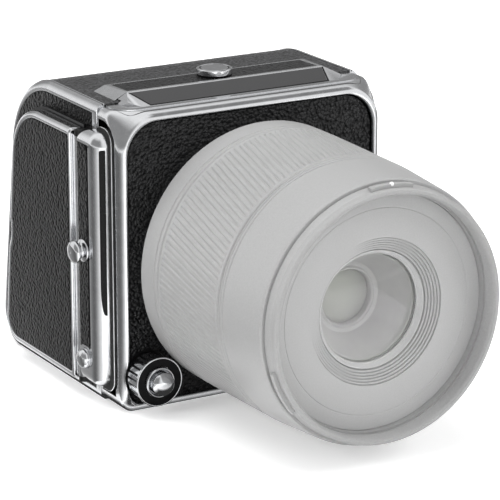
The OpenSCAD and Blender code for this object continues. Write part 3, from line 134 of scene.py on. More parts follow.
panel_mat, panel_shader = new_material("glowing_reflection_sheet")
panel_mat.node_tree.nodes.remove(panel_shader)
panel_level = add_node(panel_mat, "ShaderNodeAttribute", attribute_name="level")
panel_light = add_node(panel_mat, "ShaderNodeEmission", {"Strength": panel_level.outputs["Fac"]})
panel_mat.node_tree.links.new(panel_light.outputs[0],
                              panel_mat.node_tree.nodes["Material Output"].inputs["Surface"])


def panel(name, x, y, z, level):
    """A glowing sheet through a grid of points in metres, with a light level at each; 1 is as white as the
    room.
    """
    x, y, z, level = np.broadcast_arrays(x, y, z, level)
    mesh = bpy.data.meshes.new(name)
    mesh.from_pydata(np.stack([x, y, z], -1).reshape(-1, 3).tolist(), [],
                     grid_faces(*x.shape, False, False).tolist())
    mesh.attributes.new("level", "FLOAT", "POINT").data.foreach_set("value", level.astype(np.float32).ravel())
    mesh.materials.append(panel_mat)
    sheet = bpy.data.objects.new(name, mesh)
    sheet.visible_camera = sheet.visible_diffuse = sheet.visible_shadow = False
    bpy.context.scene.collection.objects.link(sheet)


sheet_lift, sheet_r = 0.0005, np.array([0.007, 0.02, 0.05, 0.1, 0.2, 0.4, 0.9])[:, None]
for name, x, stops, levels in (("left_floor_panel", -0.045, (94, 105, 120, 140, 160, 180, 198, 214, 230),
                                (1, 0.5, 0.28, 0.2, 0.14, 0.22, 0.48, 0.85, 1)),
                               ("right_floor_panel", 0.045, (-64, -44, -22, 0, 30, 50, 70),
                                (1, 0.9, 0.5, 0.22, 0.18, 0.3, 1))):
    around = np.linspace(stops[0], stops[-1], 60)
    panel(name, x + sheet_r * np.cos(np.radians(around)), sheet_r * np.sin(np.radians(around)), sheet_lift,
          np.interp(around, stops, levels))
# Painted shadow: these two sheets are dark under the camera, where its shadow falls in the reflections.
for name, x, y, lift, dark, share in (
        ("front_painted_shadow_sheet", (-0.046, -0.04, 0.05, 0.056), (-0.034, -0.028, -0.0115, -0.0095),
         sheet_lift, 0.95, (0, 1, 1, 0.2)),
        ("base_painted_shadow_sheet", (-0.0445, -0.0425, 0.045, 0.049), (-0.0092, -0.0075, 0.068, 0.075),
         sheet_lift / 2, 0.96, (0.3, 1, 1, 0))):
    panel(name, np.array(x), np.array(y)[:, None], lift, 1 - dark * np.outer(share, [0, 1, 1, 0]))
wall_r = 2.0
for name, turns, turn_share, rises, rise_share, core in (
        ("back_wall_panel", (2, 20, 100, 120), (0, 1, 1, 0), (2, 8, 24, 38, 50), (0.75, 1, 1, 0.6, 0), 0.3),
        ("front_wall_panel", (148, 163, 240, 262), (0, 1, 1, 0), (0, 6, 48, 72), (0, 1, 1, 0.1), 0.3),
        ("roof_panel", (-64, -46, 26, 44), (0, 1, 1, 0), (44, 53, 66, 75), (0, 1, 1, 0), 0.25)):
    around, rise = np.linspace(turns[0], turns[-1], 40), np.linspace(rises[0], rises[-1], 30)[:, None]
    panel(name, wall_r * np.cos(np.radians(around)), wall_r * np.sin(np.radians(around)),
          wall_r * np.tan(np.radians(rise)),
          1 - (1 - core) * np.interp(around, turns, turn_share) * np.interp(rise, rises, rise_share))

# Soft boxes: four square lamps round the object, each turned to its middle.
# They are hidden from glossy surfaces, where the panels and the room stand for them.
aim = np.array([0.0, 0.0, 0.045])
for name, place, size, watts in (
        ("top_box", (-0.25, 0.15, 1.1), 0.9, 10.0), ("left_box", (-1.1, -0.25, 0.55), 0.6, 5.4),
        ("right_box", (0.9, -0.7, 0.9), 0.7, 8.0), ("front_box", (-0.2, -1.5, 0.7), 0.5, 3.0)):
    lamp_data = bpy.data.lights.new(name, "AREA")
    lamp_data.size = size
    lamp_data.energy = watts
    lamp = bpy.data.objects.new(name, lamp_data)
    lamp.location = place
    away = np.array(place) - aim
    lamp.rotation_euler = (math.atan2(math.hypot(away[0], away[1]), away[2]), 0,
                           math.atan2(away[0], -away[1]))
    lamp.visible_glossy = False
    bpy.context.scene.collection.objects.link(lamp)


# Front frame: the cast rim round the front body, chrome plated and satin polished. Its front edge is a bead
# of half an oval, its upper corners tighten towards the split, and it is cut round the wheel.
setback = 7.0
body_half, deck_top, body_depth = 42.1, 85.2, 12.0
wheel_at = np.array([-34.2, 10.4])
wheel_pocket = 7.1


def at(x, depth, z):
    """Places points given across, in depth behind the leather face and in height, in the part's own frame."""
    x, depth, z = np.broadcast_arrays(x, depth, z)
    return np.stack([x, depth - setback, z], -1)


def round_loop(half, low, high, upper, lower, arc=20, run=30):
    """Closed outline (x, z): quarter circles of radius lower, upper, upper and lower, with even steps."""
    turn = np.linspace(0, math.pi / 2, arc)
    loop = []
    for x, z, r, start in ((half - lower, low + lower, lower, -0.5), (half - upper, high - upper, upper, 0.0),
                           (upper - half, high - upper, upper, 0.5), (lower - half, low + lower, lower, 1.0)):
        a = turn + start * math.pi
        loop.append(np.stack([x + r * np.cos(a), z + r * np.sin(a)], -1))
    gap = np.linspace(0, 1, run + 2)[1:-1, None]
    parts = []
    for here, there in zip(loop, loop[1:] + loop[:1]):
        parts += [here, here[-1] * (1 - gap) + there[0] * gap]
    return np.concatenate(parts)


def fix(piece, body, slot, *nodes):
    """Makes a piece ride on its body and hides the nodes that it stands for; the slot is not used."""
    bpy.context.scene.collection.objects.link(piece)
    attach(piece, body)
    if nodes:
        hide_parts(*nodes)
    return piece


def clean(mesh, material, sharp, closed=True, flats=False):
    """Merges a mesh's loose points, joins its flats or drops its empty faces, turns a closed one's faces
    outwards, and shades it smooth except at edges over a sharp angle."""
    work = bmesh.new()
    work.from_mesh(mesh)
    bmesh.ops.remove_doubles(work, verts=work.verts, dist=2e-6)
    if flats:
        bmesh.ops.dissolve_limit(work, angle_limit=math.radians(0.5), verts=work.verts, edges=work.edges)
    else:
        bmesh.ops.dissolve_degenerate(work, edges=work.edges, dist=1e-7)
        bmesh.ops.delete(work, geom=[v for v in work.verts if not v.link_faces], context="VERTS")
    if closed:
        bmesh.ops.recalc_face_normals(work, faces=work.faces)
    work.to_mesh(mesh)
    work.free()
    mesh.shade_smooth()
    mesh.set_sharp_from_angle(angle=math.radians(sharp))
    mesh.materials.clear()
    mesh.materials.append(material)


def make_piece(name, material, grids, body, slot, *nodes, sharp=32, closed=True):
    """One mesh from several grids (points in mm, wraps rows, wraps columns, and which quads to keep if not
    all). The open ends of a tube are closed flat, and the faces of a closed piece are turned outwards."""
    points, faces, start = [], [], 0
    for grid, wrap_rows, wrap_cols, *kept in grids:
        rows, cols = grid.shape[:2]
        points.append(grid.reshape(-1, 3) / 1000)
        quads = grid_faces(rows, cols, wrap_rows, wrap_cols) + start
        faces += (quads[kept[0].ravel()] if kept else quads).tolist()
        if wrap_cols and not wrap_rows:
            faces += [list(range(start, start + cols)),
                      list(range(start + (rows - 1) * cols, start + rows * cols))]
        start += rows * cols
    mesh = bpy.data.meshes.new(name)
    mesh.from_pydata(np.concatenate(points).tolist(), [], faces)
    clean(mesh, material, sharp, closed)
    return fix(bpy.data.objects.new(name, mesh), body, slot, *nodes)


def surface(material, shader, shade, stops, tones, noise, rough, relief_mm):
    """Colour between two tones and relief from a shade, and roughness between two values from a noise."""
    tone = add_node(material, "ShaderNodeValToRGB", {"Fac": shade})
    for element, stop, code in zip(tone.color_ramp.elements, stops, tones):
        element.position = stop
        element.color = hex_linear(code)
    gloss = add_node(material, "ShaderNodeMapRange", {"Value": noise, "From Min": 0.3, "From Max": 0.7,
                                                      "To Min": rough[0], "To Max": rough[1]})
    relief = add_node(material, "ShaderNodeBump", {"Height": shade, "Distance": relief_mm / 1000})
    for socket, source in (("Base Color", tone), ("Roughness", gloss), ("Normal", relief)):
        material.node_tree.links.new(source.outputs[0], shader.inputs[socket])
    return material


def grained(name, dark, light, grain_mm, rough, bump_mm, **sockets):
    """A finish with a fine random grain: colour between two tones, roughness between two values, relief."""
    material, shader = new_material(name, **sockets)
    place = add_node(material, "ShaderNodeTexCoord")
    grain = add_node(material, "ShaderNodeTexNoise",
                     {"Vector": place.outputs["Object"], "Scale": 1000 / grain_mm,
                      "Detail": 3.0, "Roughness": 0.6}).outputs["Fac"]
    return surface(material, shader, grain, (0.3, 0.7), (dark, light), grain, rough, bump_mm)


# Satin chrome: a polished casting under plate, so it mirrors softly and its tone hardly varies.
satin_chrome = grained("satin_chrome_plate", "DADBDD", "E2E3E5", 3.0, (0.14, 0.2), 0.003, Metallic=1.0)

frame_lip, bead_wide, bead_deep, foot_deep = 1.2, 2.1, 4.0, 1.5
corner_front, corner_split, corner_run, foot_r = 11.3, 2.4, 7.6, 4.0
inner = round_loop(39.3, 2.35, 82.65, 9.8, 3.2)


def outer(inset, depth):
    """The casting's outline, drawn in by an inset; its upper corners tighten rearwards by 3t^2 - 2t^3."""
    t = np.clip(depth / corner_run, 0, 1)
    upper = corner_front + (corner_split - corner_front) * (3 * t ** 2 - 2 * t ** 3)
    return round_loop(body_half - inset, inset, deck_top - inset, max(upper - inset, 0.4),
                      max(foot_r - inset, 0.4))


def clear_of_wheel(loop):
    """Pushes the points that lie inside the wheel's pocket straight out to its edge."""
    away = loop - wheel_at
    reach = np.linalg.norm(away, axis=1, keepdims=True)
    return np.where(reach < wheel_pocket, wheel_at + away * wheel_pocket / np.maximum(reach, 1e-6), loop)


frame_rows = [(inner, body_depth), (inner, 1.0), (clear_of_wheel(inner), 0.8), (clear_of_wheel(inner), 0.0)]
for share, depth in ((0.1, -0.6), (0.35, -0.95), (0.7, -1.13)):
    frame_rows.append((clear_of_wheel(inner * (1 - share) + outer(bead_wide, 0) * share), depth))
for turn in np.linspace(0, math.pi / 2, 16):
    loop = clear_of_wheel(outer(bead_wide * (1 - math.sin(turn)),
                                bead_deep * (1 - math.cos(turn)) - frame_lip))
    rise = np.clip((loop[:, 1] - 3) / 8, 0, 1)
    reach = foot_deep + (bead_deep - foot_deep) * (3 * rise ** 2 - 2 * rise ** 3)
    frame_rows.append((loop, reach * (1 - math.cos(turn)) - frame_lip))
for depth in np.linspace(3.2, body_depth - 0.4, 14):
    frame_rows.append((outer(0, depth), depth))
frame_rows += [(outer(0.12, body_depth), body_depth - 0.12), (outer(0.4, body_depth), body_depth)]
frame_grid = np.stack([at(loop[:, 0], depth, loop[:, 1]) for loop, depth in frame_rows])
make_piece("cast_front_frame", satin_chrome, [(frame_grid, True, True)], "front_body", "frame_chrome",
           "front_frame", sharp=40)

# Deck seam: a fine dark line along the top of the frame, which turns to the rear at both ends. It is drawn as
# a
# line of black baked enamel, half glossy: painted shade for the shadow in the seam between the deck and the
# frame.
black_enamel_and_shade = grained("black_enamel_and_painted_seam_shade", "0C0C0D", "151516", 1.2, (0.28, 0.42), 0.006)
seam_end, seam_half, seam_deep, seam_turn = 40.3, 0.14, 1.7, 9.5
seam_x = np.linspace(-seam_end, seam_end, 161)
seam_depth = seam_deep + seam_turn * np.clip((np.abs(seam_x) - 30) / (seam_end - 30), 0, 1) ** 6
seam_t = np.clip(seam_depth / corner_run, 0, 1)
seam_corner = corner_front + (corner_split - corner_front) * (3 * seam_t ** 2 - 2 * seam_t ** 3)
seam_past = np.maximum(np.abs(seam_x) - body_half + seam_corner, 0)
seam_z = deck_top - seam_corner + np.sqrt(seam_corner ** 2 - seam_past ** 2) - 0.08 * (seam_depth < 2.8)
seam_rows = ((-seam_half, -0.3), (-seam_half, 0.03), (seam_half, 0.06), (seam_half, -0.3))
seam_grid = np.stack([at(seam_x, seam_depth + d, seam_z + h) for d, h in seam_rows])
make_piece("deck_seam_painted_shade", black_enamel_and_shade, [(seam_grid.swapaxes(0, 1), False, True)], "front_body", "black_plate")


# Leather: black grained covering, glued into the recesses of the castings. Its relief is small pebbles
# about a millimetre across with finer creases between them. The sides' copy is darker and duller: painted
# shade.
def leather(name, dark, light, shine):
    """Embossed hide: a dome 1 - 1.6 d^2 in each cell of pebble_mm, and a finer noise for the creases."""
    pebble_mm, crease_mm, relief_mm = 0.95, 0.3, 0.6
    material, shader = new_material(name, Specular_IOR_Level=shine)
    place = add_node(material, "ShaderNodeTexCoord")
    stray = add_node(material, "ShaderNodeTexNoise", {"Vector": place.outputs["Object"], "Detail": 2.0,
                                                      "Scale": 1000 / (2 * pebble_mm)})
    bent = add_node(material, "ShaderNodeVectorMath",
                    {0: stray.outputs["Color"], 1: (0.0006, 0.0006, 0.0006)}, operation="MULTIPLY")
    where = add_node(material, "ShaderNodeVectorMath", {0: place.outputs["Object"], 1: bent.outputs[0]},
                     operation="ADD")
    pebbles = add_node(material, "ShaderNodeTexVoronoi",
                       {"Vector": where.outputs[0], "Scale": 1000 / pebble_mm}, feature="F1")
    bowl = add_node(material, "ShaderNodeMath", {0: pebbles.outputs["Distance"], 1: 2.0}, operation="POWER")
    domed = add_node(material, "ShaderNodeMath", {0: bowl.outputs[0], 1: -1.6, 2: 1.0},
                     operation="MULTIPLY_ADD")
    creases = add_node(material, "ShaderNodeTexNoise",
                       {"Vector": place.outputs["Object"], "Scale": 1000 / crease_mm,
                        "Detail": 3.0, "Roughness": 0.65})
    mixed = add_node(material, "ShaderNodeMath", {0: creases.outputs["Fac"], 1: 0.16, 2: domed.outputs[0]},
                     operation="MULTIPLY_ADD")
    return surface(material, shader, mixed.outputs[0], (0.45, 1.0), (dark, light), creases.outputs["Fac"],
                   (0.3, 0.42), relief_mm)


black_leather = leather("black_grained_leather", "060607", "222223", 0.44)
side_leather_painted_shade = leather("painted_shade_side_leather", "040405", "151516", 0.22)


def dress(material, *nodes):
    """Gives carried-over pieces their finish."""
    for node in nodes:
        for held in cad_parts[node].material_slots:
            held.material = material


dress(black_leather, "front_leather", "catch_leather")
dress(side_leather_painted_shade, "body_side_leathers", "back_side_leathers")


# Back rims: a chrome rim on each side of the digital back, following its rounded profile.
# The rim's outer edge is a full round, and a fine groove parts it from the leather.
back_split, back_height = 12.1, 86.0
back_top_at, back_top_r = np.array([42.1, 59.5]), 26.5
back_low_at, back_low_r = np.array([66.2, 10.4]), 10.4
rear_lean = math.radians(9.0206)
rim_x, rim_width, rim_round = 39.6, 3.0, 2.4


def back_loop(inset, front, arc=28):
    """Closed side outline (depth, height) of the back: square front corners, two arcs, a leaning rear."""
    top = np.linspace(math.pi / 2, rear_lean, arc)
    low = np.linspace(rear_lean, -math.pi / 2, arc)
    return np.concatenate([
        [[front, inset], [front, back_height - inset]],
        back_top_at + (back_top_r - inset) * np.stack([np.cos(top), np.sin(top)], -1),
        back_low_at + (back_low_r - inset) * np.stack([np.cos(low), np.sin(low)], -1)])


def both_sides(grid):
    """A grid and its mirror image across the middle."""
    return [(grid, True, True), (grid * [-1, 1, 1], True, True)]


groove_in, groove_out, groove_deep = 40.0, 40.35, 0.5
rim_rows = [(rim_x, 0.06), (rim_x + 0.06, 0.0), (groove_in - 0.05, 0.0), (groove_in, 0.06),
            (groove_in, groove_deep), (groove_out, groove_deep)]
for turn in np.linspace(math.acos(1 - (body_half - groove_out) / rim_round), 0, 12):
    rim_rows.append((body_half - rim_round * (1 - math.cos(turn)), rim_round * (1 - math.sin(turn))))
rim_rows += [(body_half - 0.02, rim_width - 0.3), (body_half - 0.12, rim_width - 0.1),
             (body_half - 0.4, rim_width), (rim_x, rim_width)]
rim_ahead = [inset if x < groove_in or inset > rim_round else 0.3 * (inset / rim_round) ** 2
             for x, inset in rim_rows]
rim_grid = np.stack([at(x, *back_loop(inset, back_split + ahead).T)
                     for (x, inset), ahead in zip(rim_rows, rim_ahead)])
make_piece("back_chrome_rims", satin_chrome, both_sides(rim_grid), "digital_back", "frame_chrome",
           "back_rims")
# Painted shade: a black enamel lining on each groove's walls and floor darkens it as its shadow would.
line_rows = [(groove_in, groove_deep), (groove_in, 0.2), (groove_out, 0.2), (groove_out, groove_deep)]
line_grid = np.stack([at(x, *back_loop(inset, back_split + inset).T) for x, inset in line_rows])
make_piece("rim_groove_painted_shade", black_enamel_and_shade, both_sides(line_grid), "digital_back", "black_plate")


# Back wrap: one leather strip over the top, down the rear round the screen's tray, and under the base.
# It is sunk a little below the rims, with its edges rolled down. Its copy of the leather is greyer and
# shinier:
# painted light, for the top where more light falls.
wrap_drop, wrap_edge, wrap_thick = 0.2, 39.55, 0.8
rear_n = np.array([math.cos(rear_lean), math.sin(rear_lean)])
rear_t = np.array([-rear_n[1], rear_n[0]])
rear_foot = back_low_at + back_low_r * rear_n
tray_half, tray_foot, tray_head = 36.55, 1.05, 58.72


def arc(center, r, start, end, count):
    """Points on a circle from one angle to another, in radians."""
    a = np.linspace(start, end, count)
    return center + r * np.stack([np.cos(a), np.sin(a)], -1)


rear_run = float((back_top_at + back_top_r * rear_n - rear_foot) @ rear_t)
wrap_top_r, wrap_low_r = back_top_r - wrap_drop, back_low_r - wrap_drop
tray_turn = rear_lean + math.asin((tray_head - rear_run) / wrap_top_r)
wrap_path = np.concatenate([
    np.stack([np.linspace(back_split, back_top_at[0], 16)[:-1], np.full(15, back_height - wrap_drop)], -1),
    arc(back_top_at, wrap_top_r, math.pi / 2, tray_turn, 36),
    arc(back_top_at, wrap_top_r, tray_turn, rear_lean, 8)[1:],
    [rear_foot + tray_foot * rear_t - wrap_drop * rear_n],
    arc(back_low_at, wrap_low_r, rear_lean, -math.pi / 2, 24),
    np.stack([np.linspace(back_low_at[0], back_split, 16)[1:], np.full(15, wrap_drop)], -1)])
wrap_x = np.concatenate([[-wrap_edge, 0.08 - wrap_edge, 0.25 - wrap_edge],
                         np.linspace(-tray_half, tray_half, 9),
                         [wrap_edge - 0.25, wrap_edge - 0.08, wrap_edge]])
wrap_roll = np.zeros(len(wrap_x))
wrap_roll[[0, 1, -2, -1]] = (0.22, 0.08, 0.08, 0.22)
wrap_run = np.gradient(wrap_path, axis=0)
wrap_run /= np.linalg.norm(wrap_run, axis=1, keepdims=True)
wrap_in = np.stack([wrap_run[:, 1], -wrap_run[:, 0]], -1)
wrap_side = wrap_path[:, None] + wrap_roll[None, :, None] * wrap_in[:, None]
wrap_grid = at(np.broadcast_to(wrap_x, wrap_side.shape[:2]), wrap_side[..., 0], wrap_side[..., 1])
wrap_mid = (wrap_path[1:] + wrap_path[:-1]) / 2 - rear_foot
behind = (wrap_mid @ rear_t > tray_foot) & (wrap_mid @ rear_t < tray_head) & (wrap_mid @ rear_n > -5)
within = np.abs((wrap_x[1:] + wrap_x[:-1]) / 2) < tray_half
# Painted light: a lighter, shinier copy of the black leather.
wrap_leather_painted_light = leather("painted_light_top_leather", "141415", "3E3E40", 0.75)
wrap_keep = ~(behind[:, None] & within[None])
wrap = make_piece("back_leather_wrap", wrap_leather_painted_light, [(wrap_grid, False, False, wrap_keep)],
                  "digital_back", "leather", "back_wrap", closed=False)


def thicken(piece, wall_mm, offset):
    """Gives an open sheet a wall: inwards at an offset of -1, outwards at 1."""
    wall = piece.modifiers.new("thickness", "SOLIDIFY")
    wall.thickness = wall_mm / 1000
    wall.offset = offset


thicken(wrap, wrap_thick, -1)


# Side blocks: plated alloy bars screwed to both sides, with a round front edge and eased ends. A leather
# strip is let into each. The left one stands out more, and has a bore for a button and a dark window.
block_low, block_high, block_rear, block_base, block_corner, end_round = 6.3, 79.4, 15.0, 42.9, 4.0, 3.2
strip_front, strip_rear, strip_low, strip_high, strip_deep = 8.5, 14.3, 17.6, 75.9, 0.4
strip_mid, button_height, bore_r, bore_half, bore_deep = 11.25, 13.9, 2.9, 3.05, 3.7


def block_grid(side, out, front, edge_r):
    """A bar swept upwards: its plan is a box with a quarter circle at the front, and near its ends the plan
    shrinks by r - sqrt(r^2 - h^2), where h is the height past the end's centre. The strip's field is sunk
    behind a rolled edge."""
    bend = np.linspace(0, math.pi / 2, 12)
    rear_edge = arc(np.array([block_rear - 0.5, out - 0.5]), 0.5, 0, math.pi / 2, 6)
    front_edge = np.stack([front + edge_r * (1 - np.sin(bend)), out - edge_r * (1 - np.cos(bend))], -1)
    mid, e, roll_r = strip_mid, 0.06, 0.6
    roll = strip_front - roll_r * np.array([0.25, 0.5, 0.75, 1] if side < 0 else [])
    face = [strip_rear + e, strip_rear, strip_front, *roll]
    plan = np.concatenate([[[block_rear, block_base]], rear_edge, [[d, out] for d in face], front_edge,
                           [[front, block_base]]])
    sunk = (plan[:, 0] > strip_front - e / 2) & (plan[:, 0] < strip_rear + e / 2) & (plan[:, 1] >= out)
    end = np.sin(np.linspace(0, math.pi / 2, 12))
    z = np.concatenate([block_low + block_corner * (1 - end[::-1]),
                        [button_height - bore_half, button_height + bore_half],
                        [strip_low - e, strip_low, 40, 60, strip_high, strip_high + e],
                        block_high - block_corner * (1 - end)])[:, None]
    past = np.maximum(np.maximum(block_low + block_corner - z, z - block_high + block_corner), 0)
    shrink = block_corner - np.sqrt(np.maximum(block_corner ** 2 - past ** 2, 0))
    round_r = min(end_round, 0.95 * (out - block_base))
    over = np.maximum(past - block_corner + round_r, 0)
    thin = round_r - np.sqrt(np.maximum(round_r ** 2 - over ** 2, 0))
    centre, half = (front + block_rear) / 2, (block_rear - front) / 2
    depth = centre + (plan[:, 0] - centre) * (1 - shrink / half)
    x = block_base + (plan[:, 1] - block_base) * (1 - thin / (out - block_base))
    ahead = (plan[:, 0] < strip_front) & (plan[:, 1] >= out)
    away = np.clip(1 - (strip_front - plan[:, 0]) / roll_r, 0, 1) * ahead
    fall = strip_deep * sunk + roll_r * (1 - np.sqrt(1 - away ** 2)) * (side < 0)
    x = x - fall * ((z > strip_low - e / 2) & (z < strip_high + e / 2))
    grid = at(side * x, depth, z + 0 * x)
    if side > 0:
        return [(grid, False, True)]
    middle_z, middle_d = (z[1:, 0] + z[:-1, 0]) / 2, (plan[:, 0] + np.roll(plan[:, 0], -1)) / 2
    on_face = (plan[:, 1] + np.roll(plan[:, 1], -1)) / 2 >= out
    bored_across = (np.abs(middle_d - mid) < bore_half) & on_face
    bored = (np.abs(middle_z - button_height) < bore_half)[:, None] & bored_across
    a = np.linspace(0, 2 * math.pi, 73)
    ring = np.stack([np.cos(a), np.sin(a)], -1)
    square = ring / np.abs(ring).max(1, keepdims=True) * bore_half
    bore = [at(side * x, mid + r[:, 0], button_height + r[:, 1])
            for x, r in ((out - bore_deep, ring * 0), (out - bore_deep, ring * bore_r),
                         (out - 0.1, ring * bore_r), (out, ring * (bore_r + 0.08)), (out, square))]
    return [(grid, False, True, ~bored), (np.stack(bore), False, False)]


block_out, block_front, block_edge_r = 47.1, 3.6, 3.8
right_out, right_front, right_edge_r = 45.1, 6.5, 2.0
block_grids = (block_grid(-1, block_out, block_front, block_edge_r)
               + block_grid(1, right_out, right_front, right_edge_r))
make_piece("side_chrome_blocks", satin_chrome, block_grids, "front_body", "frame_chrome", "side_blocks")


def strip_grid(side, out, foot_r):
    """A leather strip: its foot is an arc of foot_r round the button, its upper front corner a quarter."""
    across = (1 - np.cos(np.linspace(0, math.pi, 25))) / 2
    depth = strip_front + 0.05 + (strip_rear - strip_front - 0.1) * across
    low = button_height + np.sqrt(np.maximum(foot_r ** 2 - (depth - strip_mid) ** 2, 0))
    head_r = 2.2
    near = np.clip(strip_front + head_r - depth, 0, head_r)
    high = strip_high - 0.05 - (head_r - np.sqrt(head_r ** 2 - near ** 2))
    up = np.linspace(0, 1, 60)[:, None]
    edge = np.minimum(np.minimum(depth - depth[0], depth[-1] - depth), 0.3) / 0.3
    rise = out - strip_deep + 0.28 + 0.1 * np.sqrt(1 - (1 - edge) ** 2)
    return (at(side * (rise + 0 * up), depth + 0 * up, low + (high - low) * up), False, False)


strips = make_piece("block_leather_strips", side_leather_painted_shade,
                    [strip_grid(-1, block_out, 4.1), strip_grid(1, right_out, 3.72)], "front_body", "leather",
                    "block_leathers", closed=False)
thicken(strips, 0.3, 0)

# Window: a strip of dark moulded plastic, glued into the left block's round edge.
# Its lower end is drawn to one side. It hardly mirrors the room.
window_low, window_high, window_taper = 28.0, 75.2, 9.0
window_z = np.concatenate([np.linspace(window_low, window_low + window_taper, 24),
                           np.linspace(window_low + window_taper + 1, window_high - 0.6, 6),
                           np.linspace(window_high - 0.5, window_high, 6)])[:, None]
window_t = np.clip((window_z - window_low) / window_taper, 0, 1)
window_top = np.clip((window_z - window_high + 0.8) / 0.8, 0, 1)
window_from = np.radians(9.5)
window_to = np.radians(18 + 18.5 * np.sqrt(1 - (1 - window_t) ** 2) - 7 * (1 - np.sqrt(1 - window_top ** 2)))
window_a = window_from + (window_to - window_from) * np.linspace(0, 1, 9)
window_r = block_edge_r + 0.025
window_grid = at(-(block_out - block_edge_r + window_r * np.sin(window_a)),
                 block_front + block_edge_r - window_r * np.cos(window_a), window_z + 0 * window_a)
# The same dark plastic finish also paints shade: in the name plate's gap and in the catch's rings.
dark_plastic_and_shade = grained("dark_window_plastic_and_painted_shade", "060607", "0C0C0D", 1.0, (0.2, 0.3), 0.002,
                         Specular_IOR_Level=0.15)
window = make_piece("dark_side_window", dark_plastic_and_shade, [(window_grid, False, False)], "front_body",
                    "black_plate", "contact_window", closed=False)
thicken(window, 0.4, 0.9)


# Castings with eased edges: the sloping name block and the catch's bezel.
# They are milled from the same plated alloy as the frame, and their sharp edges are broken by a fine bevel.
def eased(name, node, material, width_mm, body, slot, sharp=30):
    """A piece's own solid, with loose triangles merged, flats joined and a fine bevel on sharp edges."""
    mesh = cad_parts[node].data.copy()
    mesh.name = name
    clean(mesh, material, sharp, flats=True)
    piece = fix(bpy.data.objects.new(name, mesh), body, slot, node)
    bevel = piece.modifiers.new("eased_edges", "BEVEL")
    bevel.width = width_mm / 1000
    bevel.segments = 3
    bevel.limit_method = "ANGLE"
    bevel.angle_limit = math.radians(sharp)
    bevel.use_clamp_overlap = True
    bevel.harden_normals = True


eased("sloping_name_block", "name_block", satin_chrome, 0.12, "front_body", "frame_chrome")
eased("catch_chrome_bezel", "catch_bezel", satin_chrome, 0.15, "digital_back", "frame_chrome")

# Name plate: a thin aluminium plate, anodised dark grey and bare, glued into the slope. The black strip round
# it is painted shade for the gap's shadow. The plate behind the door is steel, in the black enamel that
# paints the deck seam.
plate_grey = grained("dark_grey_anodised_plate", "29292A", "303031", 0.6, (0.3, 0.42), 0.004)
eased("bare_name_plate", "name_plate", plate_grey, 0.06, "front_body", "black_plate")
gap_path = np.array([[-30.95, 13.6], [-28.35, 6.15], [28.35, 6.15], [30.95, 13.6]])
gap_out = gap_path + [[-0.5, 0], [-0.4, -0.55], [0.4, -0.55], [0.5, 0]]
slope_foot, slope_low, slope_rise = 5.6, 85.45, 2.35 / 8.6
gap_rows = [at(p[:, 0], p[:, 1], slope_low + (p[:, 1] - slope_foot) * slope_rise + h)
            for p, h in ((gap_path, -0.2), (gap_path, 0.04), (gap_out, 0.04), (gap_out, -0.2))]
make_piece("name_plate_painted_shade_gap", dark_plastic_and_shade, [(np.stack(gap_rows, 1), False, True)], "front_body",
           "black_plate")
dress(black_enamel_and_shade, "door_base")

# Gaskets: moulded black rubber under the side blocks, dull, with a faint dusty grain.
# A fine chrome wire along each one's edge is a painted highlight: it stands for the light that the edge
# catches.
black_rubber = grained("black_moulded_rubber", "0E0E0E", "1B1B1B", 0.6, (0.6, 0.8), 0.02)
dress(black_rubber, "block_gaskets")
bead_r, gasket_low, gasket_high, gasket_rear = 0.17, 5.1, 80.6, 11.9
bead_turn = np.linspace(0, 2 * math.pi, 10, endpoint=False)
beads = []
for side, front in ((-1, 2.4), (1, 5.3)):
    half, mid, rows = (gasket_rear - front) / 2, (gasket_rear + front) / 2, []
    for t in bead_turn:
        out = bead_r * math.sin(t)
        loop = round_loop(half + out, gasket_low - out, gasket_high + out, 4.4, 4.0) + [mid, 0]
        rows.append(at(side * (block_base - bead_r * (1 - math.cos(t))), *loop.T))
    beads.append((np.stack(rows), True, True))
make_piece("gasket_edge_highlight_wires", satin_chrome, beads, "front_body", "frame_chrome")


# Strap lugs: turned steel spools, chrome plated and polished, screwed into the side blocks.
# The strap's eye hooks over the waist between the two heads.
def softened(outline, radius, steps=5):
    """Rounds the corners of a closed outline: each becomes the curve (1-t)^2 a + 2t(1-t) corner + t^2 b."""
    p = np.asarray(outline, float)
    back, ahead = np.roll(p, 1, 0) - p, np.roll(p, -1, 0) - p
    long_back = np.linalg.norm(back, axis=1, keepdims=True)
    long_ahead = np.linalg.norm(ahead, axis=1, keepdims=True)
    cut = np.minimum(radius, 0.45 * np.minimum(long_back, long_ahead))
    a, b = p + back / long_back * cut, p + ahead / long_ahead * cut
    t = np.linspace(0, 1, steps)[None, :, None]
    return ((1 - t) ** 2 * a[:, None] + 2 * t * (1 - t) * p[:, None] + t ** 2 * b[:, None]).reshape(-1, 2)


def turned(profile, steps=160):
    """Turns a closed profile (radius, distance) a full turn: x = r cos a, y = r sin a, z = distance."""
    a = np.linspace(0, 2 * math.pi, steps, endpoint=False)[:, None]
    r, z = np.asarray(profile, float).T
    return np.stack([r * np.cos(a), r * np.sin(a), z + 0 * a], -1)


def outwards(grid, x, depth, z, side):
    """Lays a turned piece's axis across the part, pointing out of its left (-1) or right (1) side."""
    return at(x + side * grid[..., 2], depth + grid[..., 1], z + side * grid[..., 0])


def forwards(grid, x, z):
    """Lays a turned piece's axis along the lens, with its distances counted ahead of the leather."""
    return at(x + grid[..., 0], -grid[..., 2], z + grid[..., 1])


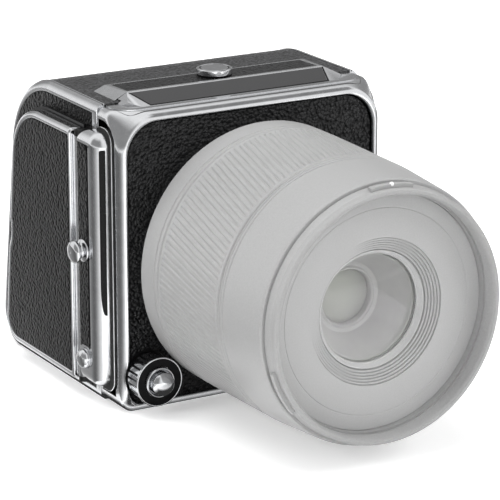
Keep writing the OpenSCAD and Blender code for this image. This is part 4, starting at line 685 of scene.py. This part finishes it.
polished_chrome = grained("polished_chrome_plate", "D4D5D7", "DCDDDF", 2.0, (0.07, 0.12), 0.002, Metallic=1.0)
lug_height = 45.4
lug_profile = softened([[0, 0], [2.4, 0], [2.4, 0.5], [3.25, 0.5], [3.25, 1.1], [2.0, 1.6], [2.0, 2.6],
                        [3.1, 2.9], [3.3, 3.4], [3.1, 4.0], [2.5, 4.45], [1.5, 4.72], [0, 4.8]], 0.5)
lug_grids = [(outwards(turned(lug_profile, 72), floor, strip_mid, lug_height, side), True, True)
             for side, floor in ((-1, 0.5 - block_out), (1, right_out - 0.5))]
make_piece("strap_lug_spools", polished_chrome, lug_grids, "front_body", "polished_chrome", "strap_lugs")

# Side button: a turned, chrome plated dome that is pressed into the left block.
# A fine ring is cut round its foot.
button_profile = softened([[0, 0], [2.8, 0], [2.8, 2.0], [2.62, 2.1], [2.62, 2.25], [2.8, 2.35], [2.72, 2.9],
                           [2.4, 3.5], [1.8, 3.95], [1.0, 4.2], [0, 4.28]], 0.12)
button_floor = 45.22
make_piece("side_dome_button", satin_chrome,
           [(outwards(turned(button_profile, 72), -button_floor, strip_mid, button_height, -1), True, True)],
           "side_press", "polished_chrome", "side_button")


# Door: a plated casting on the left with a rounded border, a finger notch at its rear edge and a leather
# panel. It swings on a barrel along its front edge.
door_front, door_low, door_high, door_rise, door_round = 19.3, 5.2, 78.2, 5.0, 1.25
door_top_at, door_top_r = np.array([40.5, 61.9]), 16.3
door_low_at, door_low_r = np.array([56.1, 12.3]), 7.1
door_run = door_low_at - door_top_at
door_turn = math.acos((door_top_r - door_low_r) / np.linalg.norm(door_run))
door_lean = math.atan2(door_run[1], door_run[0]) + door_turn
door_n = np.array([math.cos(door_lean), math.sin(door_lean)])
notch_r, notch_deep = 9.0, 1.0
notch_mid = (door_top_at + door_top_r * door_n + door_low_at + door_low_r * door_n) / 2
notch_at = notch_mid + (notch_r - notch_deep) * door_n


def door_loop(inset):
    """The door's side outline, drawn in by an inset; points inside the notch's circle move out to it."""
    top = arc(door_top_at, door_top_r - inset, math.pi / 2, door_lean, 30)
    low = arc(door_low_at, door_low_r - inset, door_lean, -math.pi / 2, 22)
    t = np.linspace(0, 1, 62)[1:-1, None]
    front = door_front + 0.3 * min(inset, door_round) + max(inset - door_round, 0)
    corner = 0.9
    foot = arc(np.array([front + corner, door_low + inset + corner]), corner, -math.pi / 2, -math.pi, 8)
    head = arc(np.array([front + corner, door_high - inset - corner]), corner, math.pi, math.pi / 2, 8)
    loop = np.concatenate([foot, head, top, top[-1] * (1 - t) + low[0] * t, low])
    away = loop - notch_at
    reach = np.linalg.norm(away, axis=1, keepdims=True)
    edge = notch_r + inset
    return np.where(reach < edge, notch_at + away * edge / np.maximum(reach, 1e-6), loop)


door_border = 1.9
door_rows = [(0.95, 0.25), (1.2, 0.0)]
for turn in np.linspace(0, math.pi / 2, 10):
    door_rows.append((door_rise - door_round * (1 - math.sin(turn)), door_round * (1 - math.cos(turn))))
door_rows += [(door_rise, 1.45), (door_rise - 0.06, 1.7), (door_rise - 0.2, 1.86),
              (door_rise - 0.5, door_border)]
door_grid = np.stack([at(-body_half - rise, *door_loop(inset).T) for rise, inset in door_rows])
make_piece("chrome_door", satin_chrome, [(door_grid, False, True)], "side_door", "frame_chrome", "door_frame")
panel_rows = [(4.5, 1.95), (4.72, 1.95), (4.88, 2.02), (4.96, 2.16), (4.98, 2.5)]
panel_grid = np.stack([at(-body_half - rise, *door_loop(inset).T) for rise, inset in panel_rows])
make_piece("door_leather_panel", side_leather_painted_shade, [(panel_grid, False, True)], "side_door", "leather",
           "door_leather")
hinge_at, hinge_r, hinge_low, hinge_high = np.array([-45.0, 16.75]), 1.4, 6.75, 76.65
hinge_plan = np.concatenate([arc(hinge_at, hinge_r, math.radians(186), math.radians(420), 28),
                             [[-44.7, 19.25], [-45.85, 19.25], [-45.97, 19.13], [-46.38, 17.0]]])
hinge_grid = np.stack([at(hinge_plan[:, 0], hinge_plan[:, 1], z) for z in (hinge_low, hinge_high)])
make_piece("door_hinge_barrel", satin_chrome, [(hinge_grid, False, True)], "side_door", "frame_chrome",
           "door_barrel")

# Hinge pins, bush, screws and levers: plain turned or stamped steel, ground but not plated.
# Most of it is hidden until the door or the back is open.
plain_steel = grained("ground_steel", "7E7F80", "8E8F90", 0.8, (0.26, 0.4), 0.006, Metallic=1.0)
dress(plain_steel, "hinge_pins", "tripod_bush", "mount_screws", "lens_lock_lever", "catch_slider")


# Shutter wheel: a fluted chrome knob round the shutter button, turned from brass and plated.
# A dark ring is let into its front, and a collar with a lip keeps it on. A black sleeve under the flutes
# shows at the
# floor of each groove: painted shade.
flutes, flute_deep, wheel_rim_r, wheel_front = 24, 0.75, 7.1, 8.3
groove_at = np.array([0.0, 0.15, 0.3, 0.335, 0.37, 0.44, 0.56, 0.63, 0.665, 0.7, 0.85])
groove_cut = np.array([0, 0, 0, 0.12, 0.6, 1, 1, 0.6, 0.12, 0, 0])
wheel_turn = ((np.arange(flutes)[:, None] + groove_at) * 2 * math.pi / flutes).reshape(-1, 1)
wheel_cut = np.tile(groove_cut, flutes)[:, None]
wheel_profile = np.array([[3.65, -0.5, 0], [5.7, -0.5, 0], [5.8, -0.4, 0], [5.8, 1.2, 0], [6.3, 1.3, 0.4],
                          [6.6, 1.6, 1], [6.68, 4.0, 1], [6.7, 7.1, 1], [6.7, 7.5, 1], [7.0, 7.52, 0],
                          [wheel_rim_r, 7.62, 0], [wheel_rim_r, 8.15, 0], [7.03, 8.27, 0],
                          [6.9, wheel_front, 0], [6.75, 8.26, 0], [6.7, 8.15, 0], [6.7, 7.8, 0],
                          [3.65, 7.8, 0]])
wheel_radius = wheel_profile[:, 0] - flute_deep * wheel_cut * wheel_profile[:, 2]
wheel_grid = np.stack([wheel_radius * np.cos(wheel_turn), wheel_radius * np.sin(wheel_turn),
                       wheel_profile[:, 1] + 0 * wheel_turn], -1)
make_piece("fluted_shutter_wheel", polished_chrome, [(forwards(wheel_grid, *wheel_at), True, True)], "wheel",
           "polished_chrome", "shutter_wheel", sharp=28)
wheel_black_and_shade = grained("black_knurled_enamel_and_groove_shade", "050506", "171718", 0.4, (0.4, 0.6), 0.05,
                      Specular_IOR_Level=0.15)
ring_profile = softened([[4.45, 7.8], [6.66, 7.8], [6.66, 8.15], [4.45, 8.15]], 0.06)
groove_shade_profile = softened([[5.2, -0.35], [6.2, -0.35], [6.2, 7.45], [5.2, 7.45]], 0.05)


def turned_at(profile, x, z, steps=96, closed=True):
    """A profile turned about an axis along the lens, as a grid for make_piece."""
    return (forwards(turned(profile, steps), x, z), True, closed)


make_piece("wheel_dark_ring", wheel_black_and_shade, [turned_at(ring_profile, *wheel_at)], "wheel", "black_plate",
           "wheel_face")
# Painted shade: the black sleeve darkens the floors of the flutes.
make_piece("wheel_groove_painted_shade", wheel_black_and_shade, [turned_at(groove_shade_profile, *wheel_at)], "wheel", "black_plate")
collar_profile = softened([[3.15, -3.8], [3.6, -3.8], [3.6, 8.4], [4.4, 8.4], [4.4, 8.75], [4.2, 9.1],
                           [3.95, 9.1], [3.3, 8.5], [3.15, 8.3]], 0.15)
make_piece("shutter_collar_ring", polished_chrome, [turned_at(collar_profile, *wheel_at)], "front_body",
           "polished_chrome", "shutter_collar")

# Shutter button: a turned brass dome on a stem, plated and polished, that slides in the collar.
# Its head is wider than the stem and stays clear of the collar's lip.
dome_turn = np.linspace(0, 1, 14) * math.pi / 2
dome_r, dome_rim, dome_top = 3.4, 10.3, 12.2
dome_line = np.stack([dome_r * np.cos(dome_turn), dome_rim + (dome_top - dome_rim) * np.sin(dome_turn)], -1)
shutter_profile = np.concatenate([[[0, -2.3], [3.1, -2.3], [3.1, 10.05], [3.3, 10.1]], dome_line])
make_piece("shutter_dome_button", polished_chrome, [turned_at(shutter_profile, *wheel_at, closed=False)],
           "shutter", "polished_chrome", "shutter_button")

# Lens release: a turned and plated button low beside the lens, on the side away from the wheel.
# Its face is dished for the finger.
release_profile = softened([[0, -4.4], [3.1, -4.4], [3.1, 2.2], [2.7, 2.6], [2.2, 2.6], [1.9, 2.45],
                            [0, 2.35]], 0.15)
make_piece("lens_release_stud", polished_chrome, [turned_at(release_profile, 33.0, 11.0, 72)], "lens_release",
           "polished_chrome", "lens_release_button")

# Mount: a bayonet ring screwed to the front and its mate on the lens, both turned from brass and hard
# chromed. Sprung contacts, plated with gold, touch inside it.
mount_chrome = grained("turned_hard_chrome", "9B9C9E", "A9AAAC", 0.5, (0.2, 0.32), 0.004, Metallic=1.0)
dress(mount_chrome, "mount_ring", "lens_mount")
contact_brass = grained("gold_plated_contact", "B98F3E", "D0A85A", 0.6, (0.2, 0.35), 0.004, Metallic=1.0)
dress(contact_brass, "mount_contacts")


# Lens barrel: turned aluminium rings with a pale grey matt anodised finish.
# The rear ring has one fine groove, the front barrel two, and both have broken edges.
lens_height = 41.4
pale_anodised = grained("pale_grey_anodised_aluminium", "999999", "A2A2A2", 0.5, (0.36, 0.46), 0.003,
                         Specular_IOR_Level=0.7)


def on_lens(profile, steps=288):
    """A profile turned about the lens's axis."""
    return turned_at(profile, 0.0, lens_height, steps)


rear_profile = softened([[30.05, 5.4], [37.7, 5.4], [38.5, 6.2], [38.5, 13.2], [38.25, 13.3], [38.25, 13.6],
                         [38.5, 13.7], [38.5, 14.9], [38.1, 15.3], [30.05, 15.3]], 0.12)
make_piece("lens_rear_ring", pale_anodised, [on_lens(rear_profile)], "lens", "lens_metal", "rear_barrel")
front_profile = softened([[33.0, 47.3], [37.5, 47.3], [37.9, 47.7], [37.87, 48.2], [37.62, 48.3],
                          [37.61, 48.6], [37.84, 48.7], [37.8, 49.3], [37.55, 49.4], [37.54, 49.7],
                          [37.76, 49.8], [36.5, 65.8], [36.4, 66.5], [36.05, 67.0], [34.25, 67.0],
                          [34.25, 62.0], [33.0, 62.0]], 0.12)
make_piece("lens_front_barrel", pale_anodised, [on_lens(front_profile)], "lens", "lens_metal", "front_barrel")
dress(pale_anodised, "inner_barrel")

# Focus ring: a turned aluminium ring with fine ribs milled along it between two plain lands.
# The ribs lean a little round the ring, as the photo shows them.
rib_count, rib_deep, rib_lean, focus_bore = 144, 0.3, math.radians(9.5), 35.1
focus_turn = np.linspace(0, 2 * math.pi, rib_count * 8, endpoint=False)[:, None]
rib_phase = np.mod(focus_turn * rib_count / (2 * math.pi), 1)
rib_cut = np.clip((0.5 - np.abs(rib_phase - 0.5)) * 5 - 1.2, 0, 1)
rib_from, rib_to = 17.0, 45.65
focus_profile = np.array([[focus_bore, 15.6, 0], [38.15, 15.6, 0], [38.5, 15.95, 0], [38.48, rib_from, 0],
                          [38.47, 17.25, 1], [38.4, 22, 1], [38.2, 31, 1], [38.0, 42, 1], [37.93, 45.4, 1],
                          [37.92, rib_to, 0], [37.9, 46.6, 0], [37.55, 47.0, 0], [focus_bore, 47.0, 0]])
focus_radius = focus_profile[:, 0] - rib_deep * rib_cut * focus_profile[:, 2]
focus_z = focus_profile[:, 1] + 0 * focus_turn
focus_a = focus_turn + rib_lean * np.clip((focus_z - rib_from) / (rib_to - rib_from), 0, 1)
focus_grid = np.stack([focus_radius * np.cos(focus_a), focus_radius * np.sin(focus_a), focus_z], -1)
make_piece("ribbed_focus_ring", pale_anodised, [(forwards(focus_grid, 0.0, lens_height), True, True)],
           "focus", "lens_metal", "focus_ring", sharp=28)

# Front rim: a turned aluminium ring with the filter thread inside, and outside it the hood's groove with
# three tabs. A dot of white paint by the upper tab shows where the hood goes on.
thread_pitch, thread_deep, thread_bore = 0.7, 0.32, 33.1
thread_at = np.arange(71.2, 67.4, -thread_pitch / 2)
thread_r = thread_bore + thread_deep * (np.arange(len(thread_at)) % 2)
rim_outside = softened([[30.05, 62.0], [34.2, 62.0], [34.2, 67.05], [35.3, 67.15], [34.7, 69.6], [34.8, 70.0],
                        [34.8, 71.4], [34.4, 71.8], [33.5, 71.8]], 0.1)[4:-4]
rim_profile = np.concatenate([rim_outside, np.stack([thread_r, thread_at], -1),
                              [[33.1, 67.2], [32.5, 67.2], [32.5, 64.2], [30.05, 64.2]]])
tabs = []
tab_half = 10.5
for tab_mid in (-26, 88, 207):
    a = np.radians(np.linspace(tab_mid - tab_half, tab_mid + tab_half, 25))[:, None]
    r, z = softened([[33.8, 68.3], [35.9, 68.3], [35.9, 70.0], [33.8, 70.0]], 0.2).T
    tab = np.stack([r * np.cos(a), r * np.sin(a), z + 0 * a], -1)
    tabs.append((forwards(tab, 0.0, lens_height), False, True))
make_piece("filter_rim_with_tabs", pale_anodised, [on_lens(rim_profile)] + tabs, "lens", "lens_metal",
           "filter_ring", sharp=28)
white_paint = grained("white_index_paint", "F2F2F2", "FAFAFA", 0.5, (0.5, 0.6), 0.002)
dot_r, dot_x, dot_depth, dot_rise = 0.62, 1.25, -69.6, 35.7
dot_ball = turned(arc(np.zeros(2), dot_r, -math.pi / 2, math.pi / 2, 12), 24)
dot_grid = at(dot_x + dot_ball[..., 0], dot_depth + dot_ball[..., 1],
              lens_height + dot_rise + dot_ball[..., 2])
make_piece("hood_index_dot", white_paint, [(dot_grid, True, False)], "lens", "lens_plate")

# Front plate: a thin aluminium ring inside the rim, painted matt grey.
# It falls to the glass in fine steps that stop stray light.
plate_paint = grained("matt_grey_lens_paint", "B0B0B0", "B8B8B8", 0.4, (0.55, 0.7), 0.006)
step_count, step_out, step_in, plate_front, step_fall = 6, 20.7, 16.4, 65.4, 2.4
step = np.arange(step_count)[:, None]
step_r = step_out - (step_out - step_in) / step_count * (step + [0, 0.68, 0.7, 0.96])
step_z = plate_front - step_fall / step_count * (step + [0, 0, 1.5, 1.5])
step_line = np.stack([step_r, step_z], -1).reshape(-1, 2)
plate_profile = np.concatenate([[[32.45, 64.2], [32.45, 65.3], [32.35, plate_front], [28.6, plate_front],
                                 [28.5, 65.3], [28.3, 65.3], [28.2, plate_front]], step_line,
                                [[16.4, 63.0], [16.4, 62.0], [30.0, 62.0], [30.0, 64.2]]])
make_piece("stepped_lens_plate", plate_paint, [on_lens(plate_profile, 192)], "lens", "lens_plate",
           "lens_front_plate", sharp=25)

# Glass: a clear coated meniscus in a bright bezel. Behind it a grey painted cone narrows to the next glass,
# a small coated dome that catches the soft boxes. The cone's grey is lighter than the plate's: painted light.
glass_mat = new_material("coated_lens_glass", Roughness=0.0, IOR=1.5, Transmission_Weight=1.0,
                         Base_Color=hex_linear("F4F6F4"), Specular_Tint=hex_linear("E8E0F0"))[0]
glass_edge = 14.9
bow = np.linspace(1, 0, 24)
glass_out = np.stack([glass_edge * bow, 61.2 + 2.4 * (1 - bow ** 2)], -1)
glass_profile = np.concatenate([glass_out, (glass_out - [0, 1.2])[::-1]])
glass = make_piece("front_glass", glass_mat, [on_lens(glass_profile, 160)], "lens", "lens_glass",
                   "front_element")
glass.visible_shadow = False
bezel_profile = softened([[16.3, 57.5], [16.3, 63.0], [16.05, 63.1], [15.7, 62.3], [15.35, 61.6],
                          [15.2, 61.8], [14.98, 61.6], [14.95, 57.5]], 0.12)
bezel_paint = grained("light_grey_bezel_paint", "C6C6C6", "CECECE", 0.4, (0.5, 0.6), 0.004)
make_piece("front_glass_bezel", bezel_paint, [on_lens(bezel_profile, 160)], "lens", "lens_plate")
# Painted light: the cone is a lighter grey than the plate, to lift the shade inside the barrel.
cone_painted_light = grained("painted_light_lens_cone", "B8B6B6", "BEBCBC", 3.0, (0.5, 0.6), 0.0)
cone_profile = softened([[14.9, 57.4], [14.9, 59.6], [14.3, 59.9], [13.9, 59.5], [9.6, 50.6], [8.6, 50.2],
                         [8.0, 50.6], [7.6, 50.2], [7.5, 47.0], [9.0, 47.0]], 0.15)
make_piece("lens_inner_cone", cone_painted_light, [on_lens(cone_profile, 160)], "lens", "lens_plate")
dome_mat = new_material("coated_inner_glass", Roughness=0.4, IOR=1.5, Base_Color=hex_linear("B2B2AE"),
                        Specular_Tint=hex_linear("ECEED2"))[0]
dome_out = np.stack([7.55 * bow, 48.4 + 2.0 * (1 - bow ** 2)], -1)
inner_dome = np.concatenate([dome_out, [[0, 47.2], [7.55, 47.2]]])
make_piece("inner_glass_dome", dome_mat, [turned_at(inner_dome, 0.0, lens_height, closed=False)], "lens",
           "lens_glass")
inner_glass = grained("inner_lens_glass", "3A4246", "454E52", 6.0, (0.03, 0.06), 0.0, Coat_Weight=0.5)
dress(inner_glass, "inner_elements")

# Castings and plastics inside: black composite, moulded with a fine spark-eroded grain, screwed together.
# The grain keeps them dull where the back or the door is open.
black_composite = grained("black_spark_eroded_composite", "121213", "1F1F21", 0.45, (0.45, 0.62), 0.025)
dress(black_composite, "chassis", "back_shell", "sensor_frame", "port_block", "lens_cells", "shutter_unit")


# Catch: a round button in the bezel behind the ridge, turned, plated and polished, that slides to free the
# back. A ring is cut in its top. Two black rings, in that cut and round its foot, are painted shade for their
# shadows.
catch_deep, catch_low = 21.0, 87.55
catch_profile = softened([[0, 82.5], [1.5, 82.5], [1.5, catch_low], [4.7, catch_low], [4.7, 88.05],
                          [5.05, 88.1], [5.05, 89.5], [4.85, 89.7], [4.3, 89.7], [4.25, 89.5], [3.95, 89.5],
                          [3.9, 89.65], [0, 89.65]], 0.06)


def on_catch(profile):
    """A profile turned about the catch's upright axis."""
    grid = turned(profile, 96)
    return (at(grid[..., 0], catch_deep + grid[..., 1], grid[..., 2]), True, True)


make_piece("round_catch_button", polished_chrome, [on_catch(catch_profile)], "back_catch", "polished_chrome",
           "catch_button")
catch_shade_lines = [softened([[inner_r, low], [outer_r, low], [outer_r, high], [inner_r, high]], 0.03)
               for inner_r, outer_r, low, high in ((4.5, 4.95, 87.5, 88.04), (3.97, 4.23, 89.4, 89.62))]
make_piece("catch_painted_shade_rings", dark_plastic_and_shade, [on_catch(line) for line in catch_shade_lines], "back_catch",
           "black_plate")

# Rear: a black tray with the tilting screen and the row of buttons under it.
# They are moulded in black composite, and the screen is under hard glass.
eased("screen_recess_tray", "screen_tray", black_composite, 0.2, "digital_back", "black_plastic")
eased("tilting_screen_housing", "screen_frame", black_composite, 0.35, "rear_screen", "black_plastic")
for number in (1, 2, 3, 4):
    eased("menu_key_%d" % number, "menu_button_%d" % number, black_composite, 0.3, "menu_%d" % number,
          "black_plastic")
screen_black = grained("black_screen_glass", "08090B", "0B0C0F", 20.0, (0.05, 0.08), 0.0, Coat_Weight=0.4)
eased("screen_cover_glass", "screen_glass", screen_black, 0.1, "rear_screen", "lens_glass")
eased("port_rubber_flap", "port_cover", black_rubber, 0.25, "port_flap", "gasket")

# Inside the back: the sensor under its coated filter glass, the green lacquered board, the battery and the
# two cards. They are screwed or clipped to the shell, and show only through the open back and door.
sensor_mat = grained("sensor_filter_glass", "1E3A38", "2B4A4A", 8.0, (0.04, 0.08), 0.0, Coat_Weight=0.6)
dress(sensor_mat, "sensor_glass")
board_mat = grained("green_lacquered_board", "123A20", "1B4C2B", 2.5, (0.3, 0.5), 0.02)
dress(board_mat, "main_board")
cell_mat = grained("grey_battery_plastic", "2B2C2E", "36373A", 0.5, (0.45, 0.6), 0.02)
dress(cell_mat, "battery", "memory_cards")
